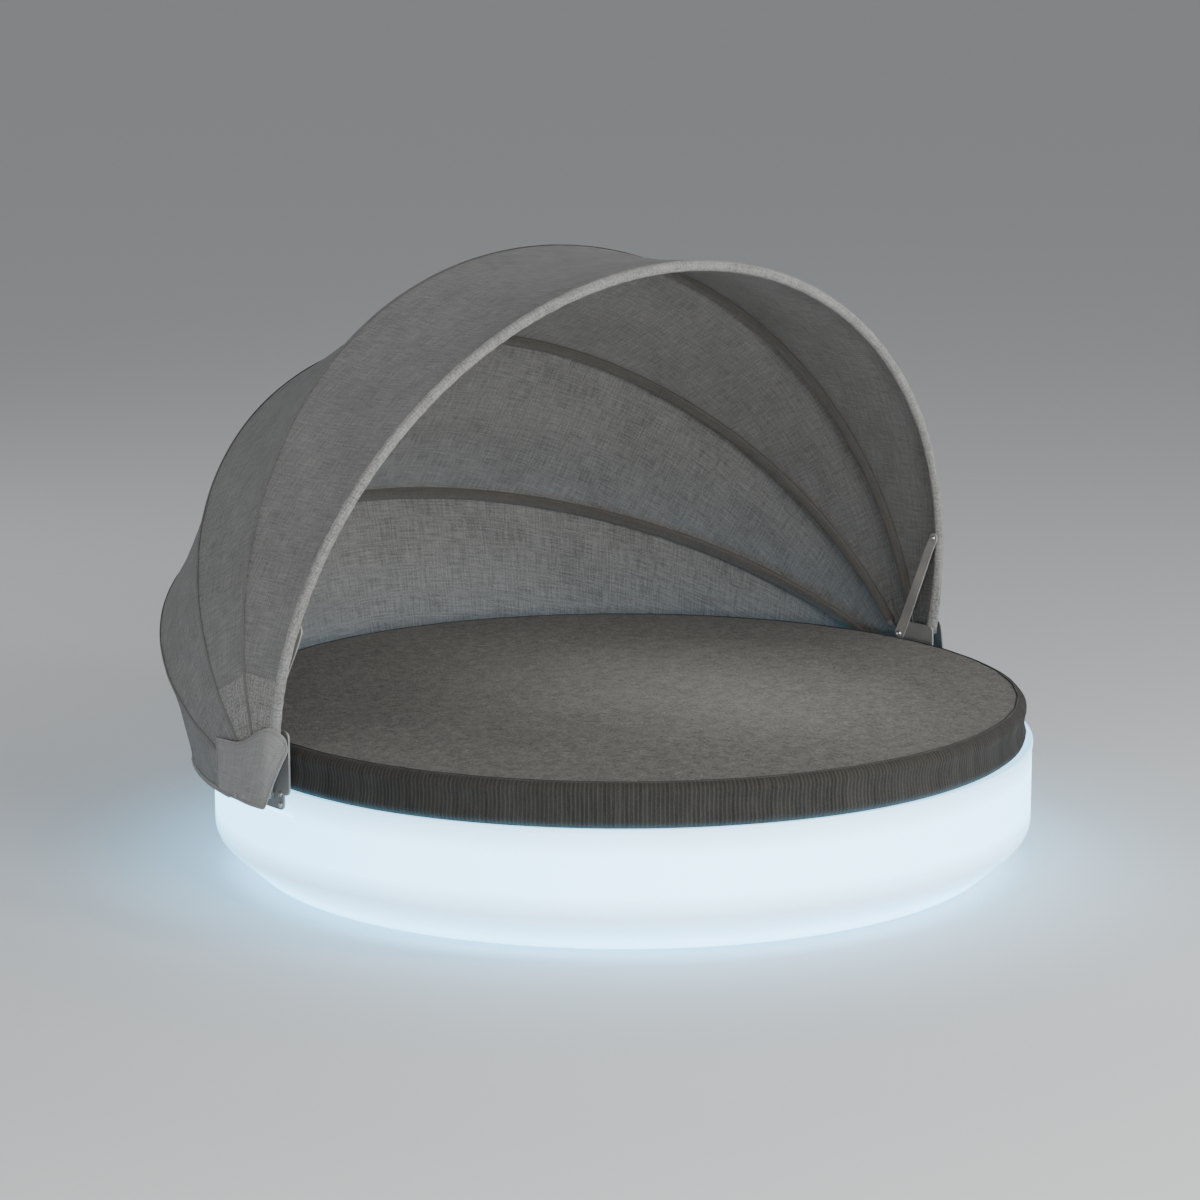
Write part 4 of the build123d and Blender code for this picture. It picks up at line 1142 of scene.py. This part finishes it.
def make_mattress(paint):
    bottom, top = mattress_low.z, mattress_high.z - mattress_crown
    ribs = int(round(2 * math.pi * mattress_radius / rib_pitch / coarse_share)) * coarse_share
    columns = ribs * columns_per_rib
    coarse = columns // coarse_share
    profile = mattress_profile(bottom, top)
    angles = full_turn(columns)
    waver = 0.25 * np.sin(angles * 37) + 0.2 * np.sin(angles * 83 + 1)
    ripple = rib_depth * (np.abs(np.sin(angles * ribs / 2 + waver)) - 0.5)
    ripple = ripple * (1 + 0.35 * np.sin(angles * 59) * np.sin(angles * 23))
    apart = (angles - seam_turn + math.pi) % (2 * math.pi) - math.pi
    ripple = ripple - seam_dip * np.exp(-((apart * mattress_radius / seam_width) ** 2))
    points, uv, side, run = [], [], [], 0.0
    for (last_radius, last_z, _), (radius, z, share) in zip(profile[:1] + profile, profile):
        run += math.hypot(radius - last_radius, z - last_z)
        slack = side_slack * np.sin(angles * 19 + z * 60) * np.sin(angles * 7 + 2) * share
        points.append(on_circle(radius + ripple * share + slack, angles, z))
        uv.append(np.stack([angles * mattress_radius, np.full(columns, run)], 1))
        side.append(np.full(columns, share))
    index = np.arange(len(profile) * columns).reshape(-1, columns)
    after = np.roll(index, -1, axis=1)
    quads = np.stack([index[:-1], after[:-1], after[1:], index[1:]], axis=-1)
    faces = quads.reshape(-1, 4).tolist()
    random = np.random.default_rng(5)
    waves = [
        (random.uniform(5, 24), random.uniform(0, 6.3), random.uniform(0, 6.3)) for _ in range(24)
    ]
    turns = full_turn(coarse)
    fan = np.arange(coarse)[:, None] * coarse_share + np.arange(coarse_share + 1)

    def cap(edge_row, flat_z, crown, order):
        """A flat face as rings towards its middle; order -1 turns its faces down."""
        outer, start = edge_row[fan % columns], sum(map(len, points))
        for ring_number in range(1, cap_rings):
            share = 1 - ring_number / cap_rings
            radius = (mattress_radius - mattress_edge) * share
            place = on_circle(radius, turns, flat_z + crown * (1 - share**2))
            x, y, z = place.T
            if crown:
                gather = 1 + np.sin(turns * 96 + 2 * np.sin(turns * 13))
                z += mattress_swell * (1 - share**6) * sum(
                    np.sin(k * (x * math.cos(t) + y * math.sin(t)) + p) / k for k, t, p in waves
                )
                z -= mattress_gather * np.exp(-(1 - share) * 26) * gather
            points.append(place)
            inner = start + np.arange(coarse)
            start += coarse
            faces.extend(np.column_stack([outer, np.roll(inner, -1), inner])[:, ::order].tolist())
            outer = np.column_stack([inner, np.roll(inner, -1)])
        points.append(np.array([[0, 0, flat_z + crown]]))
        faces.extend(np.column_stack([outer, np.full(coarse, start)])[:, ::order].tolist())

    cap(index[-1], top, mattress_crown, 1)
    cap(index[0], bottom, 0.0, -1)
    points, ribbed = np.concatenate(points), index.size
    flat = len(points) - ribbed
    piece = mesh_piece("mattress", points, faces, paint)
    set_uv(piece, np.concatenate([*uv, points[ribbed:, :2]]))
    layer = piece.data.attributes.new("side", "FLOAT", "POINT")
    layer.data.foreach_set("value", np.concatenate([*side, np.zeros(flat)]).astype(np.float32))
    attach(piece, "base")
    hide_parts("mattress_cover", "mattress_core")


def make_piping(paint):
    """A thin cord along the seam between the top and the ribbed side, its very dark colour partly painted shade of
    the groove.
    """
    around = np.linspace(0, 2 * math.pi, 1441)[:-1]
    reach = mattress_radius - mattress_edge + cord_waver * np.sin(around * 41)
    cord = cord_radius + cord_ripple * np.sin(around * 611)
    rings = level_rings(around, reach, mattress_high.z - mattress_crown - 0.0002, cord, 8)
    faces, index = grid_faces(*rings.shape[:2], around=True)
    first, last = index[0], index[-1]
    closing = [last, first, np.roll(first, -1), np.roll(last, -1)]
    faces += [tuple(face) for face in np.column_stack(closing).tolist()]
    piece = mesh_piece("mattress_cord", rings.reshape(-1, 3), faces, paint, recalculate=True)
    set_uv(piece, lengths_along(rings).reshape(-1, 2))
    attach(piece, "base")
    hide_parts("mattress_piping")


def make_zip(paint, tape):
    """A woven tape with two rows of teeth."""
    low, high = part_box("mattress_zip")
    reach = math.asin(high.x / high.y)
    angles = math.pi / 2 + np.linspace(-reach, reach, 241)
    heights = np.linspace(low.z, high.z, 7)
    wave = zip_waver * np.sin(angles * 70)[:, None] + zip_weave * np.cos(heights * 900)
    rows = on_circle(high.y - zip_inset + wave, angles[:, None], heights[None, :])
    piece = cloth_piece("zip_tape", rows, zip_cloth, tape)
    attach(piece, "base")
    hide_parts("mattress_zip")
    radius = high.y + teeth_out
    step = teeth_pitch / radius
    marks = math.pi / 2 + np.arange(-teeth_reach, teeth_reach, step)
    middle = (low.z + high.z) / 2
    places = np.concatenate([
        on_circle(radius, marks, middle - teeth_apart / 2),
        on_circle(radius, marks + step / 2, middle + teeth_apart / 2),
    ])
    facing = unit(places * [1, 1, 0])
    along = np.stack([-facing[:, 1], facing[:, 0], np.zeros(len(facing))], axis=1)
    tooth = shape_from_rings("tooth", [
        ring(0.0006, -0.0005, 6, squeeze=0.8), ring(0.0017, 0.0002, 6, squeeze=0.45),
        ring(0.0015, 0.0010, 6, squeeze=0.42), ring(0.0008, 0.0014, 6, squeeze=0.4),
    ])
    repeated("zip_teeth", tooth, places, facing, along, paint, "base")


# Screws

# Each one's head radius, head height, shank radius and, where it is fixed, length
foot_screw = (0.006, 0.003, 0.003, 0.013)
cover_screw = (0.005, 0.0024, 0.0025, 0.0156)
clip_screw = (0.0045, 0.0026, 0.0025, 0.0138)
bracket_bolt = (0.0065, 0.0046, 0.004, 0.012)
stay_pin = (0.006, 0.004, 0.003)
stay_screw = (0.008, 0.005, 0.004)
bolt_half_flat = 0.0056
circle_screws = 8
clip_turns = (45, 90, 135)
clip_stand = 0.004
clip_screw_side = 0.024


def screw_set(name, node_name, shape, places, facing, paint, body):
    places, facing = np.array(places), np.array(facing, float)
    along = unit(np.cross(facing, [0.13, 0.27, 0.95]))
    piece = repeated(name, shape, places, facing, along, paint, body)
    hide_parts(node_name)


def make_screws(steel):
    for name, node_name, size in (
        ("foot_screw", "foot_screws", foot_screw),
        ("cover_screw", "lamp_cover_screws", cover_screw),
    ):
        low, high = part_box(node_name)
        places = on_circle(high.x - size[0], full_turn(circle_screws), low.z + size[1])
        down = np.tile([0, 0, -1], (circle_screws, 1))
        shape = screw_shape(name, *size)
        screw_set(f"{name}s_turned", node_name, shape, places, down, steel, "base")
    places, facing = [], []
    for turn in clip_turns:
        across = Vector((math.cos(math.radians(turn)), math.sin(math.radians(turn)), 0))
        beside = Vector((-across.y, across.x, 0))
        clip = across * (base_radius + clip_stand) + Vector((0, 0, rear_tube_z))
        for offset in (-clip_screw_side, clip_screw_side):
            places.append(clip + beside * offset)
            facing.append(across)
    shape = screw_shape("clip_screw", *clip_screw)
    screw_set("clip_screws_turned", "clip_screws", shape, places, facing, steel, "base")
    low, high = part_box("bracket_bolts")
    places, facing = [], []
    for side in (-1, 1):
        for y in (low.y + bolt_half_flat, high.y - bolt_half_flat):
            for z in (low.z + bracket_bolt[0], high.z - bracket_bolt[0]):
                places.append((side * (high.x - bracket_bolt[1]), y, z))
                facing.append((side, 0, 0))
    shape = screw_shape("bracket_bolt", *bracket_bolt, hexagonal=True)
    screw_set("bracket_bolts_turned", "bracket_bolts", shape, places, facing, steel, "base")
    low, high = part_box("stay_pins")
    y, z = (low.y + high.y) / 2, (low.z + high.z) / 2
    pins = frame["nodes"]["stay_pins"].data.vertices
    ends = sorted({round(abs(vertex.co.x), 5) for vertex in pins})
    places = [(side * (ends[0] + stay_pin[1]), y, z) for side in (-1, 1)]
    shape = screw_shape("stay_pin", *stay_pin, ends[-1] - ends[0] - stay_pin[1])
    facing = [(1, 0, 0), (-1, 0, 0)]
    screw_set("stay_pins_turned", "stay_pins", shape, places, facing, steel, "front_hoop")
    for name, side in (("left", -1), ("right", 1)):
        low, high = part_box(f"stay_screw_{name}")
        inner, outer = sorted((abs(low.x), abs(high.x)))
        shape = screw_shape(f"stay_screw_{name}", *stay_screw, outer - inner - stay_screw[1])
        place = (side * (inner + stay_screw[1]), (low.y + high.y) / 2, (low.z + high.z) / 2)
        screw_set(
            f"stay_screw_turned_{name}", f"stay_screw_{name}", shape, [place], [(-side, 0, 0)],
            steel, f"stay_{name}",
        )


# CAD nodes that keep their shape

# Moulded pieces by slot: colour, roughness and depth of the grain
moulded_looks = {
    "black_rubber": ((0.03, 0.03, 0.03), 0.75, 0.0004),
    "grey_plastic": ((0.16, 0.16, 0.17), 0.5, 0.0002),
    "circuit_board": ((0.05, 0.16, 0.09), 0.4, 0.0002),
    "nylon": ((0.6, 0.59, 0.56), 0.5, 0.0002),
    "opal_plastic": ((0.85, 0.86, 0.86), 0.35, 0.0002),
    "stud_plastic": ((0.22, 0.22, 0.218), 0.5, 0.0002),
}


def dress_nodes():
    steel = metal_finish("stainless_steel", (0.62, 0.62, 0.61))
    brass = metal_finish("brass", (0.72, 0.58, 0.30))
    coat = coated_finish("powder_coat", (0.085, 0.085, 0.083), (0.12, 0.12, 0.117))
    plate = coated_finish("plate_coat", (0.15, 0.15, 0.148), (0.20, 0.20, 0.196))
    tape = coated_finish("band_tape", (0.075, 0.071, 0.064), (0.11, 0.105, 0.097), 0.85)
    stay = coated_finish("stay_coat", (0.20, 0.195, 0.182), (0.29, 0.283, 0.265), 0.6)
    cover = mattress_finish()
    finishes = {slot: moulded_finish(slot, *look) for slot, look in moulded_looks.items()}
    finishes |= {
        "led_light": finishes["opal_plastic"], "foam": finishes["nylon"], "brass": brass,
        "stainless_steel": steel, "coated_plate": plate, "coated_aluminium": coat,
        "sleeve_cloth": tape, "canopy_trim": tape, "canopy_cloth": plate,
        "mattress_trim": cover, "mattress_cloth": cover, "glow_shell": glow_finish(),
    }
    slots = {part["node"]: part["material_slot"] for part in frame["record"]["subparts"]}
    for name, piece in frame["nodes"].items():
        piece.data.materials.clear()
        piece.data.materials.append(finishes[slots[name]])
    for name in ("stay_left", "stay_right"):
        frame["nodes"][name].data.materials[0] = stay
    return cover, steel, brass


make_camera()
make_stage()
cover, steel, brass = dress_nodes()
repeating = repeat_tree()
stitch = stitch_shape()
make_mattress(cover)
# The cord's very dark colour is partly painted shade in the groove between top and side.
make_piping(coated_finish("piping_cloth_groove_shade", (0.014, 0.0135, 0.0125), (0.030, 0.029, 0.027), 0.85))
make_zip(brass, coated_finish("zip_tape", (0.014, 0.0135, 0.0125), (0.026, 0.025, 0.024), 0.85))
make_canopy()
make_flaps()
make_screws(steel)
